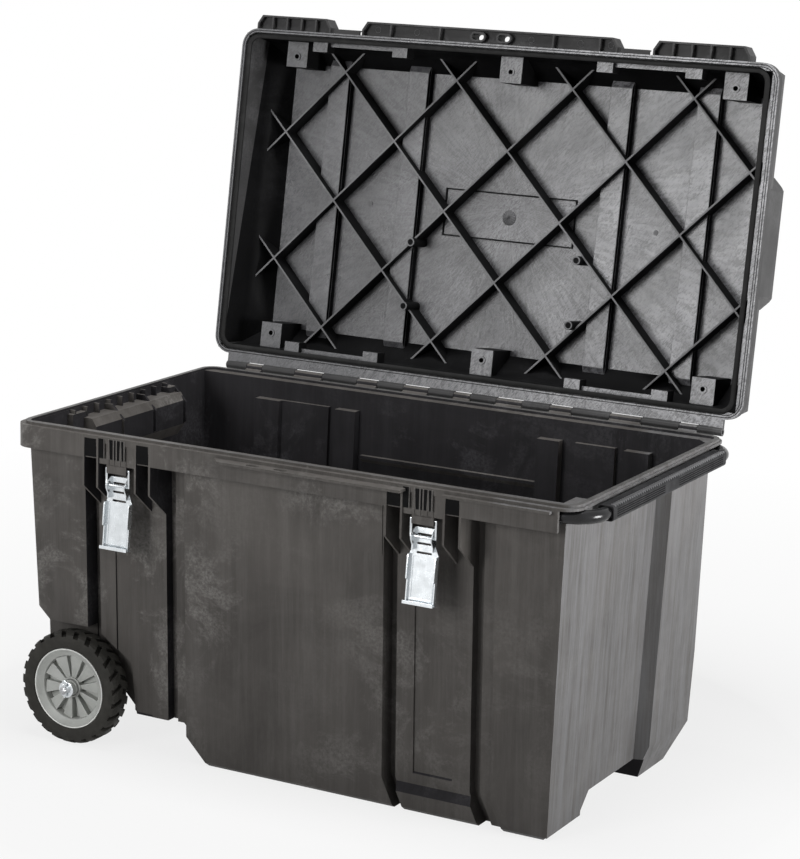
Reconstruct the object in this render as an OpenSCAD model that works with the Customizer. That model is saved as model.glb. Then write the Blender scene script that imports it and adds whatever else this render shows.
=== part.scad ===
// Wheeled job chest: moulded tub and lid, two draw latches, pull-out tow handle and a pair of wheels.
// Frame: +X along the length towards the tow handle, -Y to the latches, +Z up.
// The origin is on the floor under the middle of the rim. The lid is drawn open, as it rests on its stop.

/* [Tub] */
// Length over the lid rim
rim_l = 980; // [900:5:1040]
// Width over the rim, front to back
rim_w = 560; // [520:5:600]
// Height of the rim bead above the floor
rim_h = 516; // [480:2:560]
// Inset of the body's front and back faces from the rim, at floor level
foot_in = 47; // [44:1:55]
// Inset of the body's left face from the rim, at floor level
left_in = 29; // [26:1:35]
// Inset of the body's right face from the rim, at floor level
right_in = 61; // [56:1:70]
// Draft of the moulded faces, in mm of inset per mm of height
draft = 0.035; // [0.025:0.001:0.038]
// Wall of the moulding
wall = 4.5; // [3.5:0.5:5.5]
// Thickness of the flange plate round the rim
flange_t = 4; // [3:0.5:5]
// Drop of the skirt below the top of the flange
skirt_h = 36; // [30:1:40]
// Corner radius of the rim
rim_r = 30; // [24:1:34]
// Height of the seal bead on the flange
bead_h = 4; // [3:0.5:5]
// Width of the seal bead
bead_w = 8; // [6:1:9]
// How far the flange falls short of the lid at the tow handle end
handle_end_gap = 13; // [12:1:16]
// How far the rear half of the right end stands out
rear_pad_out = 22; // [14:1:24]

/* [Front face] */
// Distance of the left latch from the rim's left end
left_latch_in = 195; // [190:1:205]
// Distance of the right latch from the rim's right end
right_latch_in = 254; // [245:1:265]
// Depth of the latch pads behind the front face
pad_depth = 12; // [8:1:14]
// Depth of the upright grooves beside the latch pads
groove_depth = 29; // [20:1:30]
// Width of the groove on the left of each latch pad
groove_left_w = 17; // [12:1:18]
// Width of the groove on the right of each latch pad
groove_right_w = 41; // [36:1:42]
// Width of the deep slot in that groove
slot_w = 15; // [10:1:20]
// Depth of the ledge beside the slot
ledge_depth = 17; // [14:1:20]
// Depth of the middle of a latch pad below its sides
pad_step = 2.5; // [1.5:0.5:3.5]
// Half width of a latch pad
pad_half_w = 62.5; // [58:0.5:66]
// Thickness of the bracket plates that flank a latch
bracket_t = 3.5; // [3:0.5:5]
// Drop below the rim at which the bracket plates start to run back
bracket_drop = 85; // [78:1:95]
// Drop of the raised band's lower edge below the rim
band_drop = 125; // [118:1:135]
// Shift of the right grooves where they slant at the floor
kick = 21; // [10:1:24]

/* [Latches] */
// Drop of the wire link's upper pivot below the rim
link_drop = 53; // [51:1:56]
// Length of the wire link between its two pivots
link_l = 26; // [24:1:30]
// Diameter of the link wire
link_d = 4; // [3:0.5:4.5]
// Width of the wire link between the middles of its arms
link_w = 41; // [40:0.5:44]
// Distance of the link pivot behind the skirt's outer face
link_in = 5; // [4.5:0.5:6]
// Length of the latch lever below its pivot
lever_l = 99; // [90:1:104]
// Width of the latch lever
lever_w = 47; // [44:1:47]
// Width of the lever's neck
lever_neck_w = 35; // [30:1:35]
// Sheet thickness of the lever
lever_t = 2; // [1.5:0.25:2.5]
// Distance of the lever's plate from its pivot
plate_back = 7; // [6:0.5:9]
// Depth of the lever's side flanges
flange_d = 8; // [6:0.5:9]
// Reach of the lip at the end of the lever
lip_out = 12; // [9:1:14]
// Lean of the lever away from the tub at rest
lever_lean = 6; // [2:1:10]

/* [Lid] */
// Height of the lid above its rim plane
lid_h = 110; // [100:1:125]
// Height of the upright part of the lid wall
lid_wall_h = 60; // [50:1:70]
// Height of the rim band
lid_band_h = 14; // [12:1:18]
// Angle by which the lid stands open
open_angle = 98.5; // [92:0.5:105]
// Wall of the lid
lid_t = 4; // [3:0.5:5]
// Half pitch of the lattice ribs along the length
lattice_x = 107.5; // [104:0.5:109]
// Half pitch of the lattice ribs along the width
lattice_y = 110; // [106:0.5:114]
// Thickness of the lattice ribs
lattice_t = 3; // [2:0.5:4]
// Depth of the lattice ribs
lattice_h = 34; // [26:1:40]
// Width of the cross ridges inside the lid
ridge_w = 32; // [26:1:36]
// Depth of the cross ridges
ridge_h = 11; // [8:1:14]
// Reach of the front flanges in front of the rim
lid_flange_out = 24; // [18:1:28]

/* [Hinge] */
// Distance of the hinge axis behind the rim
hinge_out = 20; // [18:1:24]
// Radius of the hinge knuckles
knuckle_r = 6.5; // [5.5:0.5:7]
// Diameter of the hinge rod
hinge_rod_d = 6; // [5:0.5:7]

/* [Wheels] */
// Diameter of the tyres
wheel_d = 182; // [174:1:186]
// Width of the tyres
tyre_w = 42; // [36:1:44]
// Radius on which the tyre sits
hub_r = 65; // [60:1:68]
// Distance of the axle from the rim's left end
axle_in = 95; // [92:1:100]
// Diameter of the axle
axle_d = 12; // [10:1:14]
// Inset of a tyre's outer face from the rim
wheel_in = 14; // [10:1:18]
// Number of spokes
spoke_n = 10; // [8:1:12]
// Number of tread blocks on each shoulder
tread_n = 24; // [20:1:28]
// Depth of the tread
tread_d = 7; // [5:0.5:8]
// Clearance round the wheel in its well
well_gap = 7; // [5:1:9]

/* [Tow handle] */
// Distance of the grip's middle beyond the rim's right end
grip_out = 1; // [0:0.5:4]
// Diameter of the handle tube
tube_d = 20; // [18:1:21]
// Radius of the corner bends
bend_r = 46; // [44:1:50]
// Inset of the legs from the rim's outer edge
leg_inset = 18; // [17:0.5:19]
// Length of the straight legs
leg_l = 565; // [500:5:580]
// Length of the grip
grip_l = 420; // [380:5:424]
// Thickness of the grip along the length of the chest
grip_w = 25; // [24:0.5:25.5]
// Height of the grip
grip_h = 23; // [22:0.5:24]
// Length of a guide block
guide_l = 28; // [22:1:32]

/* [Hidden] */
$fn = 48;
eps = 0.01;
fit = 0.05;
seat = 0.3;
half_l = rim_l/2;
half_w = rim_w/2;
far = 2*rim_l;
foot_half_w = half_w - foot_in;
left_foot_x = half_l - left_in;
right_foot_x = half_l - right_in;
left_latch_x = left_latch_in - half_l;
right_latch_x = half_l - right_latch_in;
axle_x = half_l - axle_in;
wheel_face_y = half_w - wheel_in;
bracket_bottom = rim_h - bracket_drop;
band_bottom = rim_h - band_drop;
link_top_z = rim_h - link_drop;
flange_top = rim_h - bead_h;
flange_under = flange_top - flange_t;
skirt_z = flange_top - skirt_h;
right_edge = half_l - handle_end_gap;
tub_dark = [0.20, 0.19, 0.185];
lid_dark = [0.22, 0.22, 0.22];
zinc = [0.80, 0.82, 0.84];

// Faces of the drafted body at a height
function face_y(z) = foot_half_w + draft*z;
function left_x(z) = -(left_foot_x + draft*z);
function right_x(z) = right_foot_x + draft*z;

// A profile in the YZ plane, run along X
module along_x(x0, x1, pts) {
    translate([x0, 0, 0]) rotate([90, 0, 90]) linear_extrude(height = x1 - x0) polygon(pts);
}

// A profile in the XZ plane, run along Y
module along_y(y0, y1, pts) {
    translate([0, y1, 0]) rotate([90, 0, 0]) linear_extrude(height = y1 - y0) polygon(pts);
}

// A box given by its two opposite corners
module box(a, b) {
    translate(a) cube(b - a);
}

// A rectangle with true round corners
module round_rect(x0, x1, y0, y1, r) {
    translate([x0 + r, y0]) square([x1 - x0 - 2*r, y1 - y0]);
    translate([x0, y0 + r]) square([x1 - x0, y1 - y0 - 2*r]);
    for (x = [x0 + r, x1 - r]) {
        for (y = [y0 + r, y1 - r]) {
            translate([x, y]) circle(r = r);
        }
    }
}

// A flat ring between two rounded rectangles, given by the outer one and the ring's width
module ring_plate(x0, x1, y0, y1, r, w, z0, z1) {
    translate([0, 0, z0]) linear_extrude(height = z1 - z0) difference() {
        round_rect(x0, x1, y0, y1, r);
        round_rect(x0 + w, x1 - w, y0 + w, y1 - w, max(r - w, 4));
    }
}

/* Tub */
well_z = wheel_d + well_gap + 1;
well_wall_y = wheel_face_y - tyre_w - 11;
core_z = wheel_d/2 + 21;
step_z = 57;
step_x0 = -axle_x + 103;
step_x1 = step_x0 + 86;
floor_x0 = step_x1 + 54;
notch_z = 35;
notch_y0 = -124;
notch_y1 = 95;
notch_x = right_foot_x - 39;
foot_cham = 5;
rear_pad_y = 85;
rear_pad_z = 57;
rear_pad_corner = 24;
rear_cham_y = 194;
end_strip_y = -119;
end_strip_out = 2.5;
kick_z = 45;
low_pad_z = 28;

// Outline of the body between the wheel wells, seen from the front, inset by t
function body_side(t) = [
    [left_x(rim_h) + t, rim_h + (t > 0 ? 20 : -bead_h)],
    [left_x(core_z + 20) + t, core_z + 20 + t/2],
    [left_x(core_z + 20) + 20 + t/2, core_z + t],
    [-axle_x + 50 + t/2, core_z + t],
    [step_x0 + t/2, step_z + t],
    [step_x1 + t/2, step_z + t],
    [floor_x0 + t/2, t],
    [t > 0 ? notch_x - t : right_x(0) - foot_cham, t],
    [t > 0 ? notch_x - t : right_x(foot_cham), t > 0 ? notch_z + t : foot_cham],
    [right_x(notch_z) - t, t > 0 ? notch_z + t : notch_z],
    [right_x(rim_h) - t, rim_h + (t > 0 ? 20 : -bead_h)]
];

// Cross-section of the drafted body, inset by t
function body_section(t) = [
    [-face_y(0) + t + (t > 0 ? 0 : foot_cham + 1), -1],
    [face_y(0) - t - (t > 0 ? 0 : foot_cham + 1), -1],
    [face_y(foot_cham) - t, t > 0 ? 0 : foot_cham],
    [face_y(rim_h + 20) - t, rim_h + 20],
    [-face_y(rim_h + 20) + t, rim_h + 20],
    [-face_y(foot_cham) + t, t > 0 ? 0 : foot_cham]
];

// Space of an upright recess in the front (side = -1) or back (side = 1) face. It starts with a slope
// at z0 and its edges shift by k where they near the floor.
module upright_cut(x0, x1, depth, side, top, grow = 0, z0 = -1, k = 0) {
    low = z0 > 0
        ? [[-face_y(z0) - 40, z0 - grow], [-face_y(z0) + grow, z0 - grow],
            [-face_y(z0) + depth + grow, z0 + depth - grow/2]]
        : [[-face_y(-1) - 40, -1], [-face_y(-1) + depth + grow, -1]];
    profile = concat(low, [[-face_y(top) + depth + grow, top + grow], [-face_y(top) - 40, top + grow]]);
    mirror([0, side > 0 ? 1 : 0, 0]) {
        if (k > 0) {
            intersection() {
                along_x(x0 - grow - 5, x1 + grow + k + 5, profile);
                along_y(-far, -half_w/2, [
                    [x0 - grow, top + 40],
                    [x1 + grow, top + 40],
                    [x1 + grow, kick_z],
                    [x1 + grow + k, -2],
                    [x0 - grow + k, -2],
                    [x0 - grow, kick_z]
                ]);
            }
        } else {
            along_x(x0 - grow, x1 + grow, profile);
        }
    }
}

// Recesses of one latch: groove, pad, slot and ledge
module latch_recesses(cx, k, z0, grow) {
    w = pad_half_w;
    pad_top = flange_under - 20;
    upright_cut(cx - w - groove_left_w, cx - w, groove_depth, -1, skirt_z, grow, -1, k);
    upright_cut(cx - w - 1, cx + w + 1, pad_depth, -1, pad_top, grow, z0, k);
    upright_cut(cx - clevis_half_w, cx + clevis_half_w, pad_depth + pad_step, -1, pad_top - 2, grow, kick_z, 0);
    upright_cut(cx + w, cx + w + slot_w, groove_depth, -1, skirt_z, grow, -1, k);
    upright_cut(cx + w + slot_w - 1, cx + w + groove_right_w, ledge_depth, -1, skirt_z + 1, grow, -1, k);
}

// Every upright recess of the front face and the back face
module all_recesses(grow = 0) {
    latch_recesses(left_latch_x, 0, -1, grow);
    latch_recesses(right_latch_x, kick, low_pad_z, grow);
    for (r = back_channels) {
        upright_cut(r[0], r[0] + r[1], r[2], 1, skirt_z, grow);
    }
}
// Channels of the back face: start, width and depth
back_channels = [[-356, 38, 15], [-310, 84, 6], [-200, 30, 15], [175, 30, 15], [239, 61, 8], [327, 34, 15]];

// Bulk of the body before it is hollowed, without the wheel wells
module body_bulk() {
    intersection() {
        along_y(-far, far, body_side(0));
        along_x(-far, far, body_section(0));
    }
    rear_pad(0);
    // Front part of the right end, which stands a little proud
    intersection() {
        along_y(-far, end_strip_y, [
            [pad_root_x, foot_cham],
            [right_x(foot_cham) + end_strip_out, foot_cham],
            [right_x(flange_top) + end_strip_out, flange_top - 1],
            [pad_root_x, flange_top - 1]
        ]);
        along_x(0, far, body_section(0));
    }
}

// Rear half of the right end, which stands out and is chamfered at the bottom, inset by t
module rear_pad(t) {
    x1 = right_x(rim_h) + rear_pad_out - t;
    y0 = rear_pad_y - 10 + 1.15*t;
    y1 = face_y(rim_h) - t;
    top = t > 0 ? rim_h + 20 : flange_top;
    corner = rear_pad_corner - 0.586*t;
    intersection() {
        along_y(0, far, [
            [pad_root_x, t > 0 ? rear_pad_z + t : 0],
            [t > 0 ? right_x(rear_pad_z) : right_x(0) + 2, t > 0 ? rear_pad_z + t : 0],
            [right_x(rear_pad_z) + rear_pad_out - t, rear_pad_z + t],
            [right_x(top) + rear_pad_out - t, top],
            [pad_root_x, top]
        ]);
        along_x(0, far, body_section(t));
        linear_extrude(height = rim_h + 30) polygon([
            [pad_root_x - 1, y0],
            [right_foot_x, y0],
            [x1, y0 + 13],
            [x1, y1 - corner],
            [x1 - corner, y1],
            [x1 - corner, far],
            [pad_root_x - 1, far]
        ]);
    }
}
pad_root_x = right_foot_x - 129;

// The wheel well's space on the front side
module well_cut() {
    r = wheel_d/2 + well_gap;
    along_y(-far, -well_wall_y, [
        [-far, -1],
        [-far, well_z + 20],
        [left_x(well_z + 20), well_z + 20],
        [left_x(well_z + 20) + 21, well_z],
        [-axle_x + 23, well_z],
        [-axle_x + r - 5, well_z - 52],
        [-axle_x + r, 72],
        [-axle_x + r, -1]
    ]);
}

// Finger recess of the moulded carry handle at the left end
carry_y0 = -122;
carry_y1 = 128;
carry_z0 = rim_h - 88;
carry_depth = 34;
module carry_recess(grow = 0) {
    x0 = left_x(skirt_z);
    along_y(carry_y0 - grow, carry_y1 + grow, [
        [x0 - 30, carry_z0 - grow],
        [x0 + carry_depth - 14 + grow, carry_z0 - grow],
        [x0 + carry_depth + grow, carry_z0 + 16],
        [x0 + carry_depth + grow, skirt_z + 8],
        [x0 + carry_depth - 8 + grow, skirt_z + 16 + grow],
        [x0 - 30, skirt_z + 16 + grow]
    ]);
}

// Space inside the tub
module tub_cavity() {
    difference() {
        union() {
            intersection() {
                along_y(-far, far, body_side(wall));
                along_x(-far, far, body_section(wall));
            }
            rear_pad(wall);
            // The end steps out above the tow handle's finger space
            box([pad_root_x, -step_half_y, step_out_z + wall], [step_out_x - wall, step_half_y, rim_h + 20]);
        }
        all_recesses(wall);
        well_shell();
        mirror([0, 1, 0]) well_shell();
        carry_recess(wall);
        // Chamfer that clears the foot at the back right corner
        along_x(notch_x - wall, far, [
            [rear_cham_y - wall, 0],
            [rear_cham_y - wall, wall],
            [face_y(rear_pad_z) - wall, rear_pad_z + wall],
            [far, rear_pad_z + wall],
            [far, 0]
        ]);
    }
}
step_out_x = right_edge - 8;
step_out_z = skirt_z + 8;
step_half_y = half_w - 75;

// Walls of a wheel well, kept out of the cavity
module well_shell() {
    r = wheel_d/2 + well_gap + wall;
    along_y(-far, -well_wall_y + wall, [
        [-far, -1],
        [-far, well_z + 20 + wall],
        [left_x(well_z + 20) + wall, well_z + 20 + wall],
        [left_x(well_z + 20) + 21 + wall, well_z + wall],
        [-axle_x + 25, well_z + wall],
        [-axle_x + r - 5, well_z - 52 + 2],
        [-axle_x + r, 72],
        [-axle_x + r, -1]
    ]);
}

// Flange, bead and skirt round the rim
module tub_rim() {
    // Flange plate
    translate([0, 0, flange_under]) linear_extrude(height = flange_t)
        round_rect(-half_l, right_edge, -half_w, half_w, rim_r);
    // Seal bead
    ring_plate(-half_l + 8, right_edge - 3, -half_w + 8, half_w - 8, rim_r - 6, bead_w, flange_top - eps, rim_h);
    // Skirt, cut away where the tow handle comes out
    intersection() {
        ring_plate(-half_l, half_l + 60, -half_w, half_w, rim_r, wall, skirt_z, flange_top - eps);
        difference() {
            box([-half_l - 1, -half_w - 1, skirt_z - 1], [skirt_end_x, half_w + 1, flange_top]);
            for (cx = [left_latch_x, right_latch_x]) {
                latch_pockets(cx);
            }
        }
    }
    // Ribs on the skirt that hold the handle guides lengthwise
    for (s = [-1, 1]) {
        for (x = guide_x) {
            for (e = [x - seat - 3, x + guide_l + seat]) {
                translate([e, s > 0 ? half_w - wall - 2.1 : -half_w + 1, skirt_z + 2])
                    cube([3, wall - 1 + 2.1, skirt_h - 3]);
            }
        }
    }
    // End plate that closes the skirt at the front cut-away
    for (s = [-1, 1]) {
        translate([skirt_end_x - 3, s > 0 ? half_w - 6 : -half_w, skirt_z]) cube([3, 6, skirt_h - 1]);
    }
}

// Places beside and behind one latch where the skirt is thinned or cut short
module latch_pockets(cx) {
    outer = pad_half_w - bracket_t;
    inner = clevis_half_w + bracket_t;
    for (p = [[-outer, -inner], [inner, outer]]) {
        box([cx + p[0], -half_w - 1, skirt_z - 1], [cx + p[1], -half_w + wall - 1.5, flange_top - 16]);
    }
    box([cx - clevis_half_w, -half_w - 1, skirt_z - 1], [cx + clevis_half_w, -half_w + 2.5, flange_top - 10]);
}
clevis_half_w = 33;

// Brackets and link anchor of one latch, about its own X
module latch_mount(cx) {
    w = pad_half_w;
    c = clevis_half_w;
    for (dx = [-w, -c - bracket_t, c, w - bracket_t]) {
        along_x(cx + dx, cx + dx + bracket_t, [
            [-half_w, flange_top - eps],
            [-half_w, bracket_bottom],
            [-face_y(bracket_bottom) + pad_depth + 2, bracket_bottom - 38],
            [-face_y(bracket_bottom) + pad_depth + 6, flange_top - eps]
        ]);
    }
    // Wall that carries the anchor, set back from the skirt
    box([cx - c - 1, -anchor_y - 3.5, link_top_z + 6], [cx + c + 1, -anchor_y, flange_top - eps]);
    // Anchor block that the wire link turns in
    along_x(cx - anchor_half_w, cx + anchor_half_w, [
        [-anchor_y + 8, link_top_z - 7],
        [link_y - anchor_front + 1, link_top_z - 7],
        [link_y - anchor_front, link_top_z - 6],
        [link_y - anchor_front, link_top_z + 5],
        [link_y - anchor_front + 2, link_top_z + 7],
        [-anchor_y + 8, link_top_z + 7]
    ]);
    // Four tapered ribs that carry the anchor block
    for (dx = [-17, -7, 4, 14]) {
        along_x(cx + dx, cx + dx + 3, [
            [-anchor_y, link_top_z + 5],
            [link_y - anchor_front + 1, link_top_z + 5],
            [-half_w + 1, flange_top - eps],
            [-anchor_y, flange_top - eps]
        ]);
    }
}
anchor_y = half_w - 6;
anchor_half_w = link_w/2 - link_d/2 - 0.5;
anchor_front = 4.2;
link_y = -half_w + link_in;

// Ribs and gussets of the carry handle inside the left end
module carry_ribs() {
    x0 = left_x(rim_h) + wall;
    for (i = [0:8]) {
        y = carry_y0 - 28 + i*33;
        box([x0 - 2, y, skirt_z + 18], [x0 + 11, y + 3, flange_top]);
    }
    for (y = [-54, 38, 128]) {
        along_y(y, y + 4, [
            [x0 - 2, carry_z0 - 8],
            [x0 + carry_depth + 6, carry_z0 + 20],
            [x0 + carry_depth + 6, skirt_z + 6],
            [x0 + 16, skirt_z + 30],
            [x0 - 2, skirt_z + 30]
        ]);
    }
    box([x0 - 2, -157, skirt_z - 5], [x0 + 12, -120, skirt_z + 30]);
    box([x0 - 2, 112, skirt_z + 8], [x0 + 18, 128, flange_top - 6]);
}

// Ribs under the floor that carry the axle
module axle_carriers() {
    for (y = [-well_wall_y, -70, 66, well_wall_y - wall]) {
        along_y(y, y + wall, [
            [-axle_x - 26, core_z + 2],
            [-axle_x - 14, wheel_d/2 - 12],
            [-axle_x + 14, wheel_d/2 - 12],
            [-axle_x + 40, core_z + 2]
        ]);
    }
}

// Base half of the hinge: knuckles on arms behind the flange
hinge_y = half_w + hinge_out;
hinge_z = rim_h;
// Windows of the lid's hinge leaf: middle and width
window_end = half_l - 87;
window_side = half_l - 195;
window_mid = 180;
window_in = 87;
windows = [[-window_end, 32], [-window_side, 56], [-window_mid, 40], [-window_in, 48], [0, 32],
    [window_in, 48], [window_mid, 40], [window_side, 56], [window_end, 32]];
knuckle_gap = 1;
module base_knuckles() {
    for (w = windows) {
        x0 = w[0] - w[1]/2 + knuckle_gap;
        x1 = w[0] + w[1]/2 - knuckle_gap;
        along_x(x0, x1, [
            [half_w - 4, flange_under - 4],
            [hinge_y - 4, hinge_z - knuckle_r + 0.5],
            [hinge_y + 3, hinge_z - knuckle_r + 1],
            [hinge_y - 2, hinge_z + 4],
            [hinge_y - 7.5, hinge_z - 2.5],
            [half_w + 3, flange_top],
            [half_w - 4, flange_top]
        ]);
        translate([x0, hinge_y, hinge_z]) rotate([0, 90, 0]) cylinder(r = knuckle_r, h = x1 - x0);
    }
}

// Lips on the front of the flange; the middle one has two padlock slots
padlock_x = [-43.5, 4];
module padlock_slots(z0, z1, grow) {
    r = 5 + grow;
    for (x = padlock_x) {
        for (d = [-6, 6]) {
            translate([x + d, -half_w - 11, z0]) cylinder(r = r, h = z1 - z0);
        }
        box([x - 6, -half_w - 11 - r, z0], [x + 6, -half_w - 11 + r, z1]);
    }
}
lip_x0 = -117;
module front_lips() {
    difference() {
        translate([0, 0, flange_top - 9]) linear_extrude(height = 4) polygon([
            [lip_x0, -half_w + 2],
            [lip_x0, -half_w - 2],
            [lip_x0 + 16, -half_w - 20],
            [right_latch_x - 28, -half_w - 20],
            [right_latch_x - 28, -half_w + 2]
        ]);
        padlock_slots(flange_top - 20, flange_top, 0);
    }
    box([right_latch_x + 34, -half_w - 8, flange_top - 9], [half_l - 50, -half_w + 2, flange_top - 5]);
}

// Places of the handle guides along the legs
leg_y = half_w - leg_inset;
leg_z = flange_under - tube_d/2 - 1;
grip_x = half_l + grip_out;
bend_x = grip_x - bend_r;
guide_x = [bend_x - 139, bend_x - 29];
leg_channel = tube_d/2 + 1.2;
skirt_end_x = bend_x + 4;

module tub() {
    color(tub_dark) difference() {
        union() {
            difference() {
                body_bulk();
                all_recesses();
                well_cut();
                mirror([0, 1, 0]) well_cut();
                carry_recess();
                // Raised underside between the two end feet
                along_x(notch_x, far, [
                    [notch_y0, -1],
                    [notch_y0 + 36, notch_z],
                    [notch_y1 - 10, notch_z],
                    [notch_y1, -1]
                ]);
                // Chamfered foot at the back right corner
                along_x(notch_x, far, [
                    [rear_cham_y, -1],
                    [face_y(rear_pad_z) + 1, rear_pad_z],
                    [far, rear_pad_z],
                    [far, -1]
                ]);
            }
            tub_rim();
            for (cx = [left_latch_x, right_latch_x]) {
                latch_mount(cx);
            }
            axle_carriers();
            base_knuckles();
            front_lips();
            step_out();
            // Raised band across the top of the main panel
            upright_band();
        }
        tub_cavity();
        // Bores of the axle, the hinge rod and the wire links
        translate([-axle_x, -half_w, wheel_d/2]) rotate([-90, 0, 0]) cylinder(r = axle_d/2 + fit, h = rim_w);
        translate([-half_l, hinge_y, hinge_z]) rotate([0, 90, 0]) cylinder(r = hinge_rod_d/2 + fit, h = rim_l);
        for (cx = [left_latch_x, right_latch_x]) {
            translate([cx - link_w/2, link_y, link_top_z]) rotate([0, 90, 0])
                cylinder(r = link_d/2 + fit, h = link_w);
        }
        // Channels for the legs of the tow handle
        for (s = [-1, 1]) {
            box([bend_x - leg_l - 30, s*leg_y - leg_channel, leg_z - leg_channel],
                [far, s*leg_y + leg_channel, flange_under]);
        }
    }
    color(tub_dark) {
        difference() {
            carry_ribs();
            carry_recess();
        }
        back_ledge();
    }
}

// Ledge along the inside of the back wall
ledge_x0 = -157;
ledge_x1 = 177;
module back_ledge() {
    along_x(ledge_x0, ledge_x1, [
        [face_y(ledge_z) - wall - 8, ledge_z],
        [face_y(ledge_z) - 1, ledge_z],
        [face_y(ledge_z) - 1, ledge_z - 16],
        [face_y(ledge_z) - wall - 8, ledge_z - 5]
    ]);
}
ledge_z = rim_h - 109;

// Band that stands 1.5 mm proud under the skirt, on the main panel
module upright_band() {
    x0 = left_latch_x + pad_half_w + groove_right_w + 2;
    x1 = right_latch_x - pad_half_w - groove_left_w - 2;
    along_x(x0, x1, [
        [-face_y(band_bottom) + 2, band_bottom],
        [-face_y(band_bottom) - 1.5, band_bottom + 1],
        [-face_y(skirt_z) - 1.5, skirt_z + 10],
        [-face_y(skirt_z) + 2, skirt_z + 10]
    ]);
}

// Wall of the end above the tow handle's finger space
module step_out() {
    translate([0, 0, step_out_z]) linear_extrude(height = flange_top - step_out_z - eps) polygon([
        [right_foot_x, -step_half_y - wall - 16],
        [step_out_x - 16, -step_half_y - wall],
        [step_out_x, -step_half_y + 12],
        [step_out_x, step_half_y - 12],
        [step_out_x - 16, step_half_y + wall],
        [right_foot_x, step_half_y + wall + 16]
    ]);
}

/* Lid, drawn closed about its own frame: z = 0 is the rim plane */
lid_gap = 1.5;
lid_z = rim_h - lid_gap;

// Puts a closed lid piece into its open place
module opened() {
    translate([0, hinge_y, hinge_z]) rotate([-open_angle, 0, 0]) translate([0, -hinge_y, -hinge_z])
        translate([0, 0, lid_z]) children();
}

// Profile of the lid across half size h, inset by t
function lid_profile(h, t) = [
    [-h + 8 + t, t > 0 ? -1 : 0],
    [-h + 14 + t, lid_wall_h],
    [-h + 37 + t*1.2, lid_h - 10 - t],
    [-h + 45 + t*1.2, lid_h - t],
    [h - 45 - t*1.2, lid_h - t],
    [h - 37 - t*1.2, lid_h - 10 - t],
    [h - 14 - t, lid_wall_h],
    [h - 8 - t, t > 0 ? -1 : 0]
];

module lid_dome(t) {
    intersection() {
        along_y(-half_w, half_w, lid_profile(half_l, t));
        along_x(-half_l, half_l, lid_profile(half_w, t));
    }
}

ridge_x = [-half_l + 148, -188, 188, half_l - 148];
lid_in_z = lid_h - lid_t;
flange_l = [-half_l + 22, left_latch_x - 28];
flange_c = [left_latch_x + 33, right_latch_x - 28];
flange_r = [right_latch_x + 34, half_l - 56];
flange_z0 = 8;
flange_z1 = 36;
// Depth of the pockets under the flange
pocket_d = 10;
function even_ribs(ends) = [for (i = [1:4]) ends[0] + (ends[1] - ends[0] - 3)*i/5];

module lid_ridges(grow) {
    for (x = ridge_x) {
        along_x(x - ridge_w/2 - grow, x + ridge_w/2 + grow, [
            [-half_w, lid_h + 1],
            [-half_w + 36, lid_h - ridge_h - grow],
            [half_w - 36, lid_h - ridge_h - grow],
            [half_w, lid_h + 1]
        ]);
    }
}

// Diagonal lattice under the top of the lid
module lattice() {
    a = atan2(lattice_y, lattice_x);
    intersection() {
        union() {
            for (m = [-5:2:5]) {
                for (s = [-1, 1]) {
                    translate([m*lattice_x, 0, lid_in_z - lattice_h]) rotate([0, 0, s*a])
                        translate([-far, -lattice_t/2, 0]) cube([2*far, lattice_t, lattice_h + 2]);
                }
            }
        }
        box([-half_l + 24, -half_w + 24, 0], [half_l - 24, half_w - 24, lid_h]);
    }
}

// One front flange: a tray open downwards with ribs across it and drawn-in ends
module lid_flange(x0, x1, rib_x) {
    y0 = -half_w - lid_flange_out;
    y1 = -half_w + 14;
    intersection() {
        union() {
            box([x0, y0, flange_z0], [x1, y0 + 3, flange_z1]);
            box([x0, y0, flange_z0 + pocket_d], [x1, y1, flange_z1]);
            for (x = rib_x) {
                box([x, y0 + 1, flange_z0], [x + 3, y1, flange_z1 - 1]);
            }
            for (e = [x0, x1]) {
                dir = e == x0 ? 1 : -1;
                translate([0, 0, flange_z0]) linear_extrude(height = flange_z1 - flange_z0) polygon([
                    [e, y1], [e, y0 + end_slope_y], [e + dir*end_slope_x, y0],
                    [e + dir*(end_slope_x + 3), y0 + 2], [e + dir*3, y0 + end_slope_y + 2], [e + dir*3, y1]
                ]);
            }
        }
        translate([0, 0, flange_z0 - 1]) linear_extrude(height = flange_z1 - flange_z0 + 2) polygon([
            [x0, y1 + 1],
            [x0, y0 + end_slope_y],
            [x0 + end_slope_x, y0],
            [x1 - end_slope_x, y0],
            [x1, y0 + end_slope_y],
            [x1, y1 + 1]
        ]);
    }
}
end_slope_x = 9;
end_slope_y = 14;

boss_x = [-half_l + 88, 8, half_l - 86];
boss_y = half_w - 41;
post_at = [[-157, 57], [-159, 166], [152, 58], [150, 165]];

module lid_bosses() {
    for (x = boss_x) {
        for (s = [-1, 1]) {
            difference() {
                union() {
                    translate([x - 20, s*boss_y - 18, 40]) cube([40, 36, lid_in_z - 39]);
                    translate([x, s*boss_y, 38.5]) cylinder(r = 7, h = 3);
                    translate([x - 20, s > 0 ? boss_y : -boss_y - 32, 40]) cube([40, 32, 24]);
                }
                translate([x, s*boss_y, 30]) cylinder(r = 4, h = 60);
            }
        }
    }
    for (x = ridge_x) {
        for (s = [-1, 1]) {
            translate([x - 14, s > 0 ? half_w - 32 : -half_w + 14, 12]) cube([28, 18, 26]);
        }
    }
    for (p = [[-342, -188], [188, 342]]) {
        for (s = [-1, 1]) {
            translate([p[0], s > 0 ? half_w - 22 : -half_w + 14, 22]) cube([p[1] - p[0], 8, 5]);
        }
    }
    for (p = post_at) {
        translate([p[0], p[1], 58]) cylinder(r = 5, h = lid_in_z - 57);
    }
}

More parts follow.
